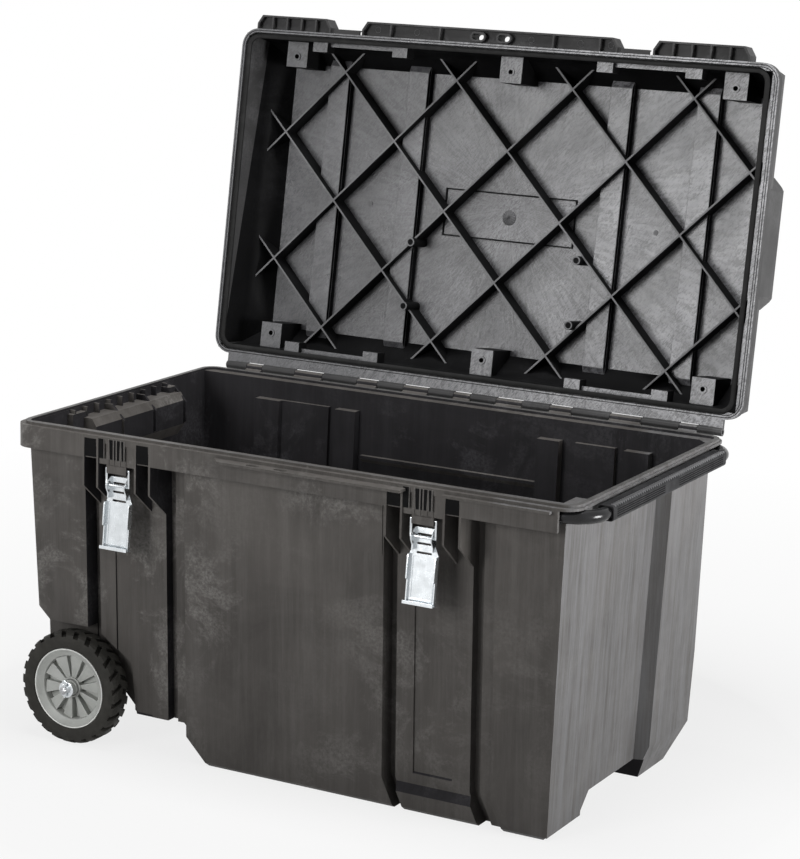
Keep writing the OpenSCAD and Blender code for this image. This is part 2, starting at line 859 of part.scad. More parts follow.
// Raised outline on the ceiling of the lid
mark_x = 267;
module ceiling_frame() {
    difference() {
        box([-122.5, -40.5, lid_in_z - 2.2], [122.5, 40.5, lid_in_z + 1]);
        box([-120, -38, lid_in_z - 3], [120, 38, lid_in_z + 2]);
    }
    translate([0, 0, lid_in_z - 2]) cylinder(r = 5, h = 3);
    for (x = [-mark_x, mark_x]) {
        translate([x, 0, lid_in_z - 1]) cylinder(r = 4, h = 2);
    }
}

// Bulges at the ends of the lid
module lid_end_bulge() {
    intersection() {
        translate([0, 0, lid_band_h - 1]) linear_extrude(height = lid_h + 2) polygon([
            [half_l - 60, -112],
            [half_l - 32, -106],
            [half_l - 10, -84],
            [half_l - 10, 84],
            [half_l - 32, 106],
            [half_l - 60, 112]
        ]);
        along_y(-120, 120, [
            [half_l - 60, 0],
            [half_l - 3, 0],
            [half_l - 12, lid_h - 4],
            [half_l - 18, lid_h + 2],
            [half_l - 60, lid_h + 2]
        ]);
    }
}

// Hinge leaf of the lid with its windows
module lid_leaf() {
    x1 = half_l - 30;
    difference() {
        union() {
            box([-x1, half_w - 4, 0], [x1, hinge_y, 6]);
            translate([-x1, hinge_y, lid_gap]) rotate([0, 90, 0]) cylinder(r = knuckle_r, h = 2*x1);
        }
        for (w = windows) {
            box([w[0] - w[1]/2, hinge_y - knuckle_r - 0.9, -20], [w[0] + w[1]/2, hinge_y + 20, 20]);
        }
    }
}

// Catch ledges in the two latch gaps
catch_z = 19;
catch_out = 8.5;
module catches() {
    for (cx = [left_latch_x, right_latch_x]) {
        along_x(cx - 25, cx + 25, [
            [-half_w + 14, catch_z - 8],
            [-half_w - catch_out, catch_z - 3],
            [-half_w - catch_out, catch_z + 3.5],
            [-half_w - catch_out + 2, catch_z + 3.5],
            [-half_w - catch_out + 2, catch_z],
            [-half_w + 14, catch_z]
        ]);
    }
}

module lid() {
    color(lid_dark) opened() difference() {
        union() {
            difference() {
                union() {
                    lid_dome(0);
                    lid_end_bulge();
                    mirror([1, 0, 0]) lid_end_bulge();
                }
                lid_ridges(0);
            }
            linear_extrude(height = lid_band_h) round_rect(-half_l, half_l, -half_w, half_w, rim_r);
            lid_flange(flange_l[0], flange_l[1], even_ribs(flange_l));
            lid_flange(flange_c[0], flange_c[1], [flange_c[0] + 53, -116, 92, flange_c[1] - 33]);
            lid_flange(flange_r[0], flange_r[1], even_ribs(flange_r));
            // Collars round the padlock slots
            padlock_slots(flange_z0, flange_z0 + pocket_d + 1, 3);
            catches();
            lid_leaf();
        }
        difference() {
            lid_dome(lid_t);
            lid_ridges(lid_t);
            lattice();
            lid_bosses();
            ceiling_frame();
        }
        // Groove that holds the seal
        ring_plate(-half_l + 7, right_edge - 2, -half_w + 7, half_w - 7, rim_r - 5, bead_w + 2, -1, seal_top);
        padlock_slots(0, flange_z1 + 20, 0);
        translate([-half_l, hinge_y, lid_gap]) rotate([0, 90, 0]) cylinder(r = hinge_rod_d/2 + fit, h = rim_l);
    }
}
seal_top = 6;
seal_bottom = lid_gap + seat;

module lid_seal() {
    color([0.08, 0.08, 0.08]) opened()
        ring_plate(-half_l + 8, right_edge - 3, -half_w + 8, half_w - 8, rim_r - 6, bead_w, seal_bottom, seal_top);
}

module hinge_rod() {
    l = rim_l - 64;
    color(zinc) translate([-l/2, hinge_y, hinge_z]) rotate([0, 90, 0]) cylinder(r = hinge_rod_d/2, h = l);
}

/* Wheels */
axle_end_y = wheel_face_y + 13;
washer_t = 2;

module axle() {
    color(zinc) difference() {
        translate([-axle_x, -axle_end_y, wheel_d/2]) rotate([-90, 0, 0]) cylinder(r = axle_d/2, h = 2*axle_end_y);
        for (s = [-1, 1]) {
            translate([-axle_x, s*cotter_y, 0]) cylinder(r = 1.6 + fit, h = wheel_d);
        }
    }
}
cotter_y = axle_end_y - 5;

module axle_washers() {
    color(zinc) for (s = [-1, 1]) {
        for (y = [wheel_face_y + 2 + seat, well_wall_y + seat]) {
            translate([-axle_x, s > 0 ? y : -y - washer_t, wheel_d/2]) rotate([-90, 0, 0]) difference() {
                cylinder(r = 13, h = washer_t);
                translate([0, 0, -1]) cylinder(r = axle_d/2 + fit, h = washer_t + 2);
            }
        }
    }
}

pin_drop = 12;
pin_l = 22;
module cotter_pins() {
    color(zinc) for (s = [-1, 1]) {
        translate([-axle_x, s*cotter_y, wheel_d/2]) {
            translate([0, 0, -pin_drop]) cylinder(r = 1.6, h = pin_l);
            translate([0, 0, pin_drop]) rotate([90, 0, 0]) rotate_extrude() translate([3.4, 0]) circle(r = 1.3);
        }
    }
}

hub_w = 36;
hub_front = tyre_w/2 + 2;
hub_back = tyre_w/2 + 11 - washer_t - 2*seat;
spoke_r0 = 17;
spoke_r1 = hub_r - 13;
// Blades end below the edge of the smooth ring
blade_h = 6.6;

module wheel_hub() {
    gap = 1.7;
    rotate([90, 0, 0]) difference() {
        union() {
            // Rim with its wide smooth ring, and the disc behind the blades
            rotate_extrude() polygon([
                [hub_r - 6, -hub_w/2], [hub_r, -hub_w/2], [hub_r, hub_w/2], [hub_r - 4, hub_w/2],
                [hub_r - 7, hub_w/2 - 3], [spoke_r1 + 1, hub_w/2 - 7], [spoke_r1 - 1, hub_w/2 - 9], [spoke_r1 - 2, 3],
                [14, 3], [14, -3], [hub_r - 12, -3], [hub_r - 7, -8]
            ]);
            // Hub barrel, long enough to run between the washers
            translate([0, 0, -hub_back]) cylinder(r = 15, h = hub_back + hub_front - 6);
            cylinder(r = 11, h = hub_front);
            // Wide blades with narrow slots between them
            for (i = [0:spoke_n - 1]) {
                a = 180/spoke_n;
                rotate([0, 0, i*360/spoke_n]) translate([0, 0, 1]) linear_extrude(height = blade_h) polygon([
                    [spoke_r0 - 5, -(spoke_r0 - 5)*tan(a) + gap],
                    [spoke_r1 + 0.5, -(spoke_r1 + 0.5)*tan(a) + gap],
                    [spoke_r1 + 0.5, (spoke_r1 + 0.5)*tan(a) - gap],
                    [spoke_r0 - 5, (spoke_r0 - 5)*tan(a) - gap]
                ]);
            }
        }
        translate([0, 0, -far]) cylinder(r = axle_d/2 + fit, h = 2*far);
    }
}

module tyre() {
    r = wheel_d/2;
    w = tyre_w/2;
    rotate([90, 0, 0]) difference() {
        rotate_extrude() polygon([
            [hub_r + fit, -hub_w/2], [hub_r + 2, -hub_w/2 - 2], [r - tread_d - 4, -w], [r - 3, -w + 2], [r, -w + 9],
            [r, w - 9], [r - 3, w - 2], [r - tread_d - 4, w], [hub_r + 2, hub_w/2 + 2], [hub_r + fit, hub_w/2]
        ]);
        // Slanted grooves between the lugs of each shoulder
        for (i = [0:tread_n - 1]) {
            for (s = [-1, 1]) {
                rotate([0, 0, (i + (s > 0 ? 0.5 : 0))*360/tread_n]) translate([r - tread_d, 0, s*(w - 7)])
                    rotate([s*28, 0, 0]) translate([0, -4, -13]) cube([tread_d + 8, 8, 28]);
            }
        }
    }
}

wheel_y = wheel_face_y - tyre_w/2;
module at_front_wheel() {
    translate([-axle_x, -wheel_y, wheel_d/2]) children();
}
module at_rear_wheel() {
    translate([-axle_x, wheel_y, wheel_d/2]) mirror([0, 1, 0]) children();
}
module front_wheel_hub() {
    color([0.62, 0.64, 0.64]) at_front_wheel() wheel_hub();
}
module rear_wheel_hub() {
    color([0.62, 0.64, 0.64]) at_rear_wheel() wheel_hub();
}
module front_tyre() {
    color([0.10, 0.10, 0.10]) at_front_wheel() tyre();
}
module rear_tyre() {
    color([0.10, 0.10, 0.10]) at_rear_wheel() tyre();
}

/* Latches */
lever_pivot_z = link_top_z - link_l;

module latch_link(cx) {
    color(zinc) translate([cx, link_y, link_top_z]) {
        for (z = [0, -link_l]) {
            translate([-link_w/2, 0, z]) rotate([0, 90, 0]) cylinder(r = link_d/2, h = link_w);
        }
        for (s = [-1, 1]) {
            translate([s*link_w/2, 0, -link_l]) cylinder(r = link_d/2, h = link_l);
            for (z = [0, -link_l]) {
                translate([s*link_w/2, 0, z]) sphere(r = link_d/2);
            }
        }
    }
}

// Lever drawn hanging plumb from its pivot at the origin, front towards -Y. Its plate lies behind the
// pivot and its side flanges come forward, so that they turn in round the link when it is thrown over.
module lever_form() {
    hw = lever_w/2;
    nw = lever_neck_w/2;
    front = plate_back - flange_d;
    difference() {
        union() {
            // Plate: neck, shoulders and blade
            translate([0, plate_back + lever_t, 0]) rotate([90, 0, 0]) linear_extrude(height = lever_t) polygon([
                [-nw, 13], [nw, 13], [nw, -12], [hw, -26], [hw, -lever_l], [-hw, -lever_l], [-hw, -26], [-nw, -12]
            ]);
            for (s = [-1, 1]) {
                // Ear that turns on the link's lower bar
                translate([s > 0 ? nw - lever_t : -nw, 0, 0]) rotate([90, 0, 90])
                    linear_extrude(height = lever_t) polygon([
                        [plate_back + 1, 13], [3, 13], [-3, 6], [-7.5, 1], [-7, -4], [front, -13],
                        [front, -20], [plate_back + 1, -20]
                    ]);
                // Side flange of the blade, narrower towards its end
                translate([s > 0 ? hw - lever_t : -hw, 0, 0]) rotate([90, 0, 90])
                    linear_extrude(height = lever_t) polygon([
                        [plate_back + 1, -26], [front + 2, -27], [front, -31], [front, -0.64*lever_l],
                        [front + flange_d/2, -0.66*lever_l], [front + flange_d/2, -lever_l], [plate_back + 1, -lever_l]
                    ]);
                // Raised border of the blade
                translate([s > 0 ? hw - 7 : -hw + 4.5, plate_back - 1, -lever_l + 5]) cube([2.5, 1.5, lever_l - 34]);
            }
            translate([-hw + 4.5, plate_back - 1, -lever_l + 5]) cube([lever_w - 9, 1.5, 2.5]);
            // Lip that hooks on the lid
            translate([-hw - 1.5, plate_back + lever_t - lip_out, -lever_l - 1]) cube([lever_w + 3, lip_out, lever_t]);
            translate([-hw - 1.5, plate_back + lever_t - lip_out, -lever_l - 1]) cube([lever_w + 3, lever_t, 5]);
        }
        translate([-hw, 0, 0]) rotate([0, 90, 0]) cylinder(r = link_d/2 + fit, h = lever_w);
        // Three finger slots
        for (z = [3, -10.5, -24]) {
            for (dx = [-11, 11]) {
                translate([dx, 20, z]) rotate([90, 0, 0]) cylinder(r = 1.6, h = 20);
            }
            translate([-11, 0, z - 1.6]) cube([22, 20, 3.2]);
        }
    }
}

module latch_lever(cx) {
    color(zinc) translate([cx, link_y, lever_pivot_z]) rotate([-lever_lean, 0, 0]) lever_form();
}
module left_latch_link() {
    latch_link(left_latch_x);
}
module right_latch_link() {
    latch_link(right_latch_x);
}
module left_latch_lever() {
    latch_lever(left_latch_x);
}
module right_latch_lever() {
    latch_lever(right_latch_x);
}

/* Tow handle */
// Bored round bar along +Z
module tube_run(l) {
    difference() {
        cylinder(r = tube_d/2, h = l);
        translate([0, 0, -1]) cylinder(r = tube_d/2 - tube_wall, h = l + 2);
    }
}
tube_wall = 1.6;

module tow_handle_tube() {
    cross = leg_y - bend_r;
    color([0.05, 0.05, 0.05]) {
        for (s = [-1, 1]) {
            translate([bend_x - leg_l, s*leg_y, leg_z]) rotate([0, 90, 0]) tube_run(leg_l);
            translate([bend_x, s*cross, leg_z]) rotate([0, 0, s > 0 ? 0 : -90]) rotate_extrude(angle = 90)
                translate([bend_r, 0]) difference() {
                    circle(r = tube_d/2);
                    circle(r = tube_d/2 - tube_wall);
                }
        }
        translate([grip_x, -cross, leg_z]) rotate([-90, 0, 0]) tube_run(2*cross);
    }
}

module tow_handle_grip() {
    color([0.16, 0.16, 0.16]) difference() {
        union() {
            translate([grip_x, -grip_l/2, leg_z]) rotate([-90, 0, 0]) linear_extrude(height = grip_l)
                round_rect(-grip_w/2, grip_w/2, -grip_h/2, grip_h/2, 7);
            for (i = [0:63]) {
                box([grip_x - 5, -grip_l/2 + 4 + i*(grip_l - 11)/63, leg_z + grip_h/2 - 1],
                    [grip_x + 4, -grip_l/2 + 7 + i*(grip_l - 11)/63, leg_z + grip_h/2 + 1.2]);
            }
        }
        translate([grip_x, -grip_l, leg_z]) rotate([-90, 0, 0]) cylinder(r = tube_d/2 + fit, h = 2*grip_l);
    }
}

module handle_end_stops() {
    color([0.12, 0.12, 0.12]) for (s = [-1, 1]) {
        translate([bend_x - leg_l, s*leg_y, leg_z]) rotate([0, -90, 0]) {
            cylinder(r = tube_d/2 + stop_lip, h = 8);
            translate([0, 0, -14]) cylinder(r = tube_d/2 - tube_wall - fit, h = 15);
        }
    }
}
stop_lip = 0.8;

// Guide block round one leg, between the body and the skirt; s is -1 at the front and 1 at the back
module handle_guide(x, s) {
    in = max(leg_channel - seat, leg_y - face_y(flange_under) - seat);
    out = leg_inset - wall - 0.5;
    z0 = leg_z - tube_d/2 - 4;
    difference() {
        translate([x, s > 0 ? leg_y - in : -leg_y - out, z0]) cube([guide_l, in + out, flange_under - seat - z0]);
        translate([x - 1, s*leg_y, leg_z]) rotate([0, 90, 0]) cylinder(r = tube_d/2 + fit, h = guide_l + 2);
    }
}
module front_handle_guides() {
    color([0.14, 0.14, 0.14]) for (x = guide_x) {
        handle_guide(x, -1);
    }
}
module rear_handle_guides() {
    color([0.14, 0.14, 0.14]) for (x = guide_x) {
        handle_guide(x, 1);
    }
}

tub();
lid();
lid_seal();
hinge_rod();
axle();
axle_washers();
cotter_pins();
front_wheel_hub();
front_tyre();
rear_wheel_hub();
rear_tyre();
left_latch_link();
left_latch_lever();
right_latch_link();
right_latch_lever();
tow_handle_tube();
tow_handle_grip();
handle_end_stops();
front_handle_guides();
rear_handle_guides();
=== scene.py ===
"""Wheeled job chest with its lid open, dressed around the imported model.

Places are in metres in the frame of the CAD model: +X along the length towards the tow handle,
-Y to the latches, +Z up, with the origin on the floor under the middle of the rim. Detail pieces
are drawn in millimetres, which MM turns into metres. Colours are linear RGB.
"""
import math

import bmesh
import bpy
from mathutils import Matrix, Vector


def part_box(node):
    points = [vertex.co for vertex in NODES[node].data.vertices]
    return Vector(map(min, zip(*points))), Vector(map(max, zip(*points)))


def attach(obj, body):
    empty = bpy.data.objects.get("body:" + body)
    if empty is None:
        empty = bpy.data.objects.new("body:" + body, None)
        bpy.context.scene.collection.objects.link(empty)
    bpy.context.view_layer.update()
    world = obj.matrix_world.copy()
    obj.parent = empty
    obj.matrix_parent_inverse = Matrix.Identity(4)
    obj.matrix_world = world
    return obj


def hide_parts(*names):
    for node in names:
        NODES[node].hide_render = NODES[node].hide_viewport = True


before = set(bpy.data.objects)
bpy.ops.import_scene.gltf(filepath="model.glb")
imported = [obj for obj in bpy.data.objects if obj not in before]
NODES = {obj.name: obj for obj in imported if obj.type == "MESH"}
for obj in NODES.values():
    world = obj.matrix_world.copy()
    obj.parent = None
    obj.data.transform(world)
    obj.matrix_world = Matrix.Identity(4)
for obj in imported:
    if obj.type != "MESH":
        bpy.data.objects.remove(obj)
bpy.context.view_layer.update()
MM = 0.001
# Indexes of a vector's axes
X, Y, Z = 0, 1, 2

# Camera, solved from the photograph
IMAGE_W, IMAGE_H = 800, 859
SENSOR_MM = 36.0
CAM_AZ = math.radians(29.01)
CAM_EL = math.radians(12.68)
CAM_ROLL = math.radians(1.5)
CAM_DIST = 4.210
CAM_TARGET = Vector((-0.01882, 0.0159, 0.5023))
FOCAL_PX = 2682.26
CENTRE_PX = (369.02, 433.86)


def make_camera():
    """Camera at the photograph's place, with a small shift to its frame."""
    level = math.cos(CAM_EL)
    back = Vector((math.sin(CAM_AZ) * level, -math.cos(CAM_AZ) * level, math.sin(CAM_EL)))
    right = Vector((math.cos(CAM_AZ), math.sin(CAM_AZ), 0))
    up = back.cross(right)
    rolled_right = right * math.cos(CAM_ROLL) + up * math.sin(CAM_ROLL)
    rolled_up = up * math.cos(CAM_ROLL) - right * math.sin(CAM_ROLL)
    data = bpy.data.cameras.new("camera")
    data.sensor_fit = "HORIZONTAL"
    data.sensor_width = SENSOR_MM
    data.lens = FOCAL_PX * SENSOR_MM / IMAGE_W
    data.shift_x = (IMAGE_W / 2 - CENTRE_PX[0]) / IMAGE_W
    data.shift_y = (CENTRE_PX[1] - IMAGE_H / 2) / IMAGE_W
    camera = bpy.data.objects.new("camera", data)
    bpy.context.scene.collection.objects.link(camera)
    place = Matrix((rolled_right, rolled_up, back)).transposed().to_4x4()
    place.translation = CAM_TARGET + back * CAM_DIST
    camera.matrix_world = place
    bpy.context.scene.camera = camera


class Nodes:
    """A small builder for one node material, with its textures in object coordinates."""

    def __init__(self, name):
        self.mat = bpy.data.materials.new(name)
        self.mat.use_nodes = True
        self.tree = self.mat.node_tree
        self.tree.nodes.clear()
        self.out = self.tree.nodes.new("ShaderNodeOutputMaterial")
        self.bsdf = self.tree.nodes.new("ShaderNodeBsdfPrincipled")
        self.tree.links.new(self.bsdf.outputs[0], self.out.inputs["Surface"])
        self.coord = self.tree.nodes.new("ShaderNodeTexCoord").outputs["Object"]

    def link(self, value, socket):
        """Feed a socket from another node's output, or set it to a constant."""
        if isinstance(value, (int, float, tuple)):
            socket.default_value = value
        else:
            self.tree.links.new(value, socket)

    def mapping(self, scale=(1, 1, 1), rotation=(0, 0, 0), location=(0, 0, 0), vector=None):
        n = self.tree.nodes.new("ShaderNodeMapping")
        self.link(vector or self.coord, n.inputs["Vector"])
        n.inputs["Scale"].default_value = scale
        n.inputs["Rotation"].default_value = rotation
        n.inputs["Location"].default_value = location
        return n.outputs[0]

    def noise(self, scale, detail=4.0, rough=0.55, distort=0.0, vector=None):
        n = self.tree.nodes.new("ShaderNodeTexNoise")
        self.link(vector or self.coord, n.inputs["Vector"])
        n.inputs["Scale"].default_value = scale
        n.inputs["Detail"].default_value = detail
        n.inputs["Roughness"].default_value = rough
        n.inputs["Distortion"].default_value = distort
        return n.outputs["Fac"]

    def ramp(self, value, low, high, bottom=0.0):
        """Grey that climbs from bottom to white while value goes from low to high."""
        n = self.tree.nodes.new("ShaderNodeValToRGB")
        self.link(value, n.inputs["Fac"])
        for stop, place, grey in zip(n.color_ramp.elements, (low, high), (bottom, 1.0)):
            stop.position = place
            stop.color = (grey, grey, grey, 1)
        return n.outputs["Color"]

    def span(self, value, low, high, start=0.0, end=1.0):
        """Number that goes from start to end while value goes from low to high."""
        n = self.tree.nodes.new("ShaderNodeMapRange")
        self.link(value, n.inputs["Value"])
        n.inputs["From Min"].default_value = low
        n.inputs["From Max"].default_value = high
        n.inputs["To Min"].default_value = start
        n.inputs["To Max"].default_value = end
        return n.outputs["Result"]

    def math(self, operation, a, b=0.0):
        n = self.tree.nodes.new("ShaderNodeMath")
        n.operation = operation
        self.link(a, n.inputs[0])
        self.link(b, n.inputs[1])
        return n.outputs[0]

    def product(self, first, *others):
        for value in others:
            first = self.math("MULTIPLY", first, value)
        return first

    def mix(self, share, a, b):
        """Colour a, with b laid over it by its share."""
        n = self.tree.nodes.new("ShaderNodeMix")
        n.data_type = "RGBA"
        self.link(share, n.inputs[0])
        # Sockets 6 and 7 are the two colours
        for value, socket in ((a, n.inputs[6]), (b, n.inputs[7])):
            self.link((*value, 1) if isinstance(value, tuple) else value, socket)
        return n.outputs[2]

    def axis(self, vector, which):
        n = self.tree.nodes.new("ShaderNodeSeparateXYZ")
        self.link(vector, n.inputs[0])
        return n.outputs[which]

    def place(self, which):
        """One coordinate of the point, in metres."""
        return self.axis(self.coord, which)

    def distance(self):
        """Distance from the origin."""
        n = self.tree.nodes.new("ShaderNodeVectorMath")
        n.operation = "LENGTH"
        self.link(self.coord, n.inputs[0])
        return n.outputs["Value"]

    def radial_noise(self, centre, around, outward, detail, rough):
        """Noise drawn out along lines from a centre, in the XZ plane."""
        x = self.math("SUBTRACT", self.place(X), centre[0])
        z = self.math("SUBTRACT", self.place(Z), centre[1])
        square = self.math("ADD", self.product(x, x), self.product(z, z))
        n = self.tree.nodes.new("ShaderNodeCombineXYZ")
        self.link(self.product(self.math("ARCTAN2", z, x), around), n.inputs[X])
        self.link(self.product(self.math("SQRT", square), outward), n.inputs[Y])
        return self.noise(1.0, detail, rough, 0.4, n.outputs[0])

    def normal(self, which):
        """One axis of the face's normal, in object coordinates."""
        geometry = self.tree.nodes.new("ShaderNodeNewGeometry")
        n = self.tree.nodes.new("ShaderNodeVectorTransform")
        n.vector_type = "NORMAL"
        n.convert_from = "WORLD"
        n.convert_to = "OBJECT"
        self.link(geometry.outputs["True Normal"], n.inputs[0])
        return self.axis(n.outputs[0], which)

    def outward_edges(self, low, high):
        """1 on outward edges, 0 on inward ones."""
        geometry = self.tree.nodes.new("ShaderNodeNewGeometry")
        return self.span(geometry.outputs["Pointiness"], low, high)

    def uneven(self, rough, *pattern):
        """Roughness that wanders between two values, by a noise pattern."""
        return self.span(self.noise(*pattern), 0.3, 0.7, *rough)

    def bump(self, height, strength, distance, under=None):
        n = self.tree.nodes.new("ShaderNodeBump")
        self.link(height, n.inputs["Height"])
        n.inputs["Strength"].default_value = strength
        n.inputs["Distance"].default_value = distance
        if under is not None:
            self.link(under, n.inputs["Normal"])
        return n.outputs[0]

    def finish(self, colour, roughness, normal=None, specular=0.5, metallic=0.0):
        """Feed the shader and give back the material."""
        self.link((*colour, 1) if isinstance(colour, tuple) else colour, self.bsdf.inputs["Base Color"])
        self.link(roughness, self.bsdf.inputs["Roughness"])
        self.bsdf.inputs["Metallic"].default_value = metallic
        self.bsdf.inputs["Specular IOR Level"].default_value = specular
        if normal is not None:
            self.link(normal, self.bsdf.inputs["Normal"])
        return self.mat


# Middle of the open lid's ceiling, in X and Z, from which its flow marks run out
GATE = (0.0, 0.812)
# Stretch of the ceiling over which the flow marks grow from faint to full; this is painted light, which
# makes the ceiling paler towards +X
FLOW_LIGHT_X = (-0.30, 0.30)
# Stretch of the front over which the rubbed patches fade towards the tow handle
FADE_X = (0.08, 0.30)
# The end face, made paler by brush strokes and by painted light: it starts over this stretch of X, and
# behind the rounded front corner in Y
BRUSHED_LIT_X = (0.34, 0.36)
BRUSHED_LIT_Y = (-0.235, -0.22)
BRUSHED_LIT_TONE = (0.165, 0.166, 0.172)
# Heights between which the tub goes from its foot, darkened as painted shade, to its full colour
SHADED_FOOT_Z = (0.0, 0.46)
# Pale lines in rolled steel
ROLLED_TONE = (0.80, 0.83, 0.86)
# Depths of the grain in plastic and metal, of the softer one in rubber and paint, and of slow waves
GRAIN_DEPTH = 0.4 * MM
SOFT_DEPTH = 0.5 * MM
WAVE_DEPTH = 4 * MM


def shade(colour, factor):
    return tuple(c * factor for c in colour)


def rubbed_patches(n):
    """Pale rubbed patches, speckled and with ragged edges."""
    zone = n.ramp(n.noise(3.4, 2, 0.5, 0.0, n.mapping(location=(3.1, 1.7, 0.4))), 0.40, 0.56, 0.12)
    patch = n.ramp(n.noise(9.0, 10, 0.72, 0.6), 0.49, 0.57)
    speckle = n.ramp(n.noise(210.0, 4, 0.7), 0.36, 0.62, 0.1)
    return n.product(zone, patch, speckle)


def brush_and_light_end(n, colour, lines, strength):
    """Brush strokes up and down the end face, and painted light, make it paler."""
    across = n.span(n.math("ABSOLUTE", n.normal(Y)), 0.95, 0.80)
    behind = n.span(n.place(Y), *BRUSHED_LIT_Y)
    end = n.product(n.math("MAXIMUM", across, behind), n.span(n.place(X), *BRUSHED_LIT_X))
    fine = n.noise(95.0, 6, 0.75, 0.0, n.mapping(scale=(1.6, 1.6, 0.05)))
    both = n.product(n.math("ADD", lines, fine), 0.5)
    brushed_and_lit = n.product(n.ramp(both, 0.40, 0.58, 0.20), strength)
    return n.mix(n.product(brushed_and_lit, end), colour, BRUSHED_LIT_TONE)


def add_flow_marks_and_glints(n, colour, height, pale_tone, strength):
    """Slanted strokes, and strokes that run out from the gate, in colour and in relief; their pale colour
    is painted glints, which grow towards +X as painted light.
    """
    flow_glints = n.noise(6.0, 5, 0.66, 2.2)
    burst = n.radial_noise(GATE, 30.0, 22.0, 6, 0.7)
    slant = n.mapping(scale=(420, 420, 120), vector=n.mapping(rotation=(0, math.radians(-38), 0)))
    strokes = n.noise(1.0, 4, 0.62, 0.8, slant)
    fine = n.math("ADD", n.product(burst, 0.45), n.product(strokes, 0.55))
    mark = n.product(n.ramp(flow_glints, 0.36, 0.62, 0.5), n.ramp(fine, 0.44, 0.54),
                     n.span(n.place(X), *FLOW_LIGHT_X, 0.25, 1.0))
    colour = n.mix(n.product(mark, strength), colour, shade(pale_tone, 1.15))
    height = n.math("ADD", n.product(height, 0.5), n.product(fine, 2.4))
    return colour, height


def moulded_plastic(name, base, pale_tone, patches=0.8, streak=0.0, brushed_and_lit=0.0, flow_glints=0.0, shaded_foot=0.0,
                    rough=(0.42, 0.6), grain=0.25, specular=0.14):
    """Dark moulded plastic with grain and a mottled tone.

    Shares from 0 to 1 add rubbed patches, upright streaks, an end face made paler by brush strokes
    and by painted light, swirl marks of the moulding whose pale glints are painted and grow towards
    +X as painted light, and a foot darkened as painted shade.
    """
    n = Nodes(name)
    cloud = n.ramp(n.noise(5.0, 7, 0.62, 0.6), 0.36, 0.64)
    colour = n.mix(cloud, shade(base, 0.78), shade(base, 1.18))
    mark = rubbed_patches(n)
    if brushed_and_lit:
        mark = n.product(mark, n.span(n.place(X), *FADE_X, 1.0, 0.3))
    colour = n.mix(n.product(mark, patches), colour, pale_tone)
    lines = n.noise(26.0, 7, 0.78, 0.05, n.mapping(scale=(2.2, 2.2, 0.07)))
    if streak:
        colour = n.mix(n.product(n.ramp(lines, 0.44, 0.66), streak), colour, pale_tone)
    if brushed_and_lit:
        colour = brush_and_light_end(n, colour, lines, brushed_and_lit)
    height = n.noise(900.0, 3, 0.6)
    if flow_glints:
        colour, height = add_flow_marks_and_glints(n, colour, height, pale_tone, flow_glints)
    # Painted shade: the tub grows darker towards the floor
    if shaded_foot:
        colour = n.mix(n.span(n.place(Z), *SHADED_FOOT_Z, 1.0 - shaded_foot, 1.0), (0, 0, 0), colour)
    # Slow waves of the moulded face under its grain
    waves = n.bump(n.noise(3.0, 2, 0.5), 0.25, WAVE_DEPTH)
    surface = n.bump(height, grain, GRAIN_DEPTH, waves)
    return n.finish(colour, n.uneven(rough, 22.0, 5, 0.6), surface, specular)


def edge_highlight_and_shade(name, dark, pale, rough=(0.34, 0.5), specular=0.3):
    """Rounded edges: outward ones pale as a painted highlight, inward ones dark as painted shade, broken up
    by noise.
    """
    n = Nodes(name)
    breakup = n.ramp(n.noise(70.0, 6, 0.72, 0.3), 0.34, 0.62, 0.45)
    colour = n.mix(n.product(n.outward_edges(0.48, 0.56), breakup), dark, pale)
    surface = n.bump(n.noise(900.0, 3, 0.6), 0.2, GRAIN_DEPTH)
    return n.finish(colour, n.uneven(rough, 45.0, 4, 0.6), surface, specular)


def zinc_sheet(name, tone, rough):
    """Zinc-plated steel with faint rolling lines and blotches."""
    n = Nodes(name)
    lines = n.noise(60.0, 4, 0.7, 0.0, n.mapping(scale=(14, 1, 1)))
    blotch = n.noise(40.0, 5, 0.6, 0.5)
    colour = n.mix(n.ramp(blotch, 0.35, 0.7), shade(tone, 0.86), tone)
    colour = n.mix(n.product(n.ramp(lines, 0.45, 0.7), 0.25), colour, ROLLED_TONE)
    height = n.math("ADD", n.product(lines, 0.5), n.noise(500.0, 3))
    surface = n.bump(height, 0.12, GRAIN_DEPTH)
    return n.finish(colour, n.uneven(rough, 85.0, 4, 0.6), surface, metallic=0.92)


def rubber(name, base, rough):
    """Black rubber with dust on it."""
    n = Nodes(name)
    dust = n.ramp(n.noise(28.0, 6, 0.65, 0.6), 0.45, 0.75)
    colour = n.mix(n.product(dust, 0.5), base, shade(base, 2.6))
    surface = n.bump(n.noise(700.0, 4, 0.7), 0.35, SOFT_DEPTH)
    return n.finish(colour, n.uneven(rough, 60.0, 3), surface, 0.2)


def hub_plastic(name, tone, dirt):
    """Grey plastic with fine dirt."""
    n = Nodes(name)
    colour = n.mix(n.ramp(n.noise(38.0, 6, 0.6, 0.4), 0.35, 0.7), shade(tone, 0.86), tone)
    specks = n.ramp(n.noise(90.0, 6, 0.7, 0.8), 0.55, 0.8)
    colour = n.mix(n.product(specks, 0.35), colour, dirt)
    surface = n.bump(n.noise(650.0, 3), 0.22, GRAIN_DEPTH)
    return n.finish(colour, n.uneven((0.42, 0.58), 45.0, 4), surface)


def gloss_paint(name, dark, pale):
    """Glossy black paint on the bent tube."""
    n = Nodes(name)
    colour = n.mix(n.ramp(n.noise(30.0, 5), 0.4, 0.75), dark, pale)
    surface = n.bump(n.noise(260.0, 2), 0.05, SOFT_DEPTH)
    return n.finish(colour, n.uneven((0.14, 0.24), 120.0, 4), surface, 0.28)


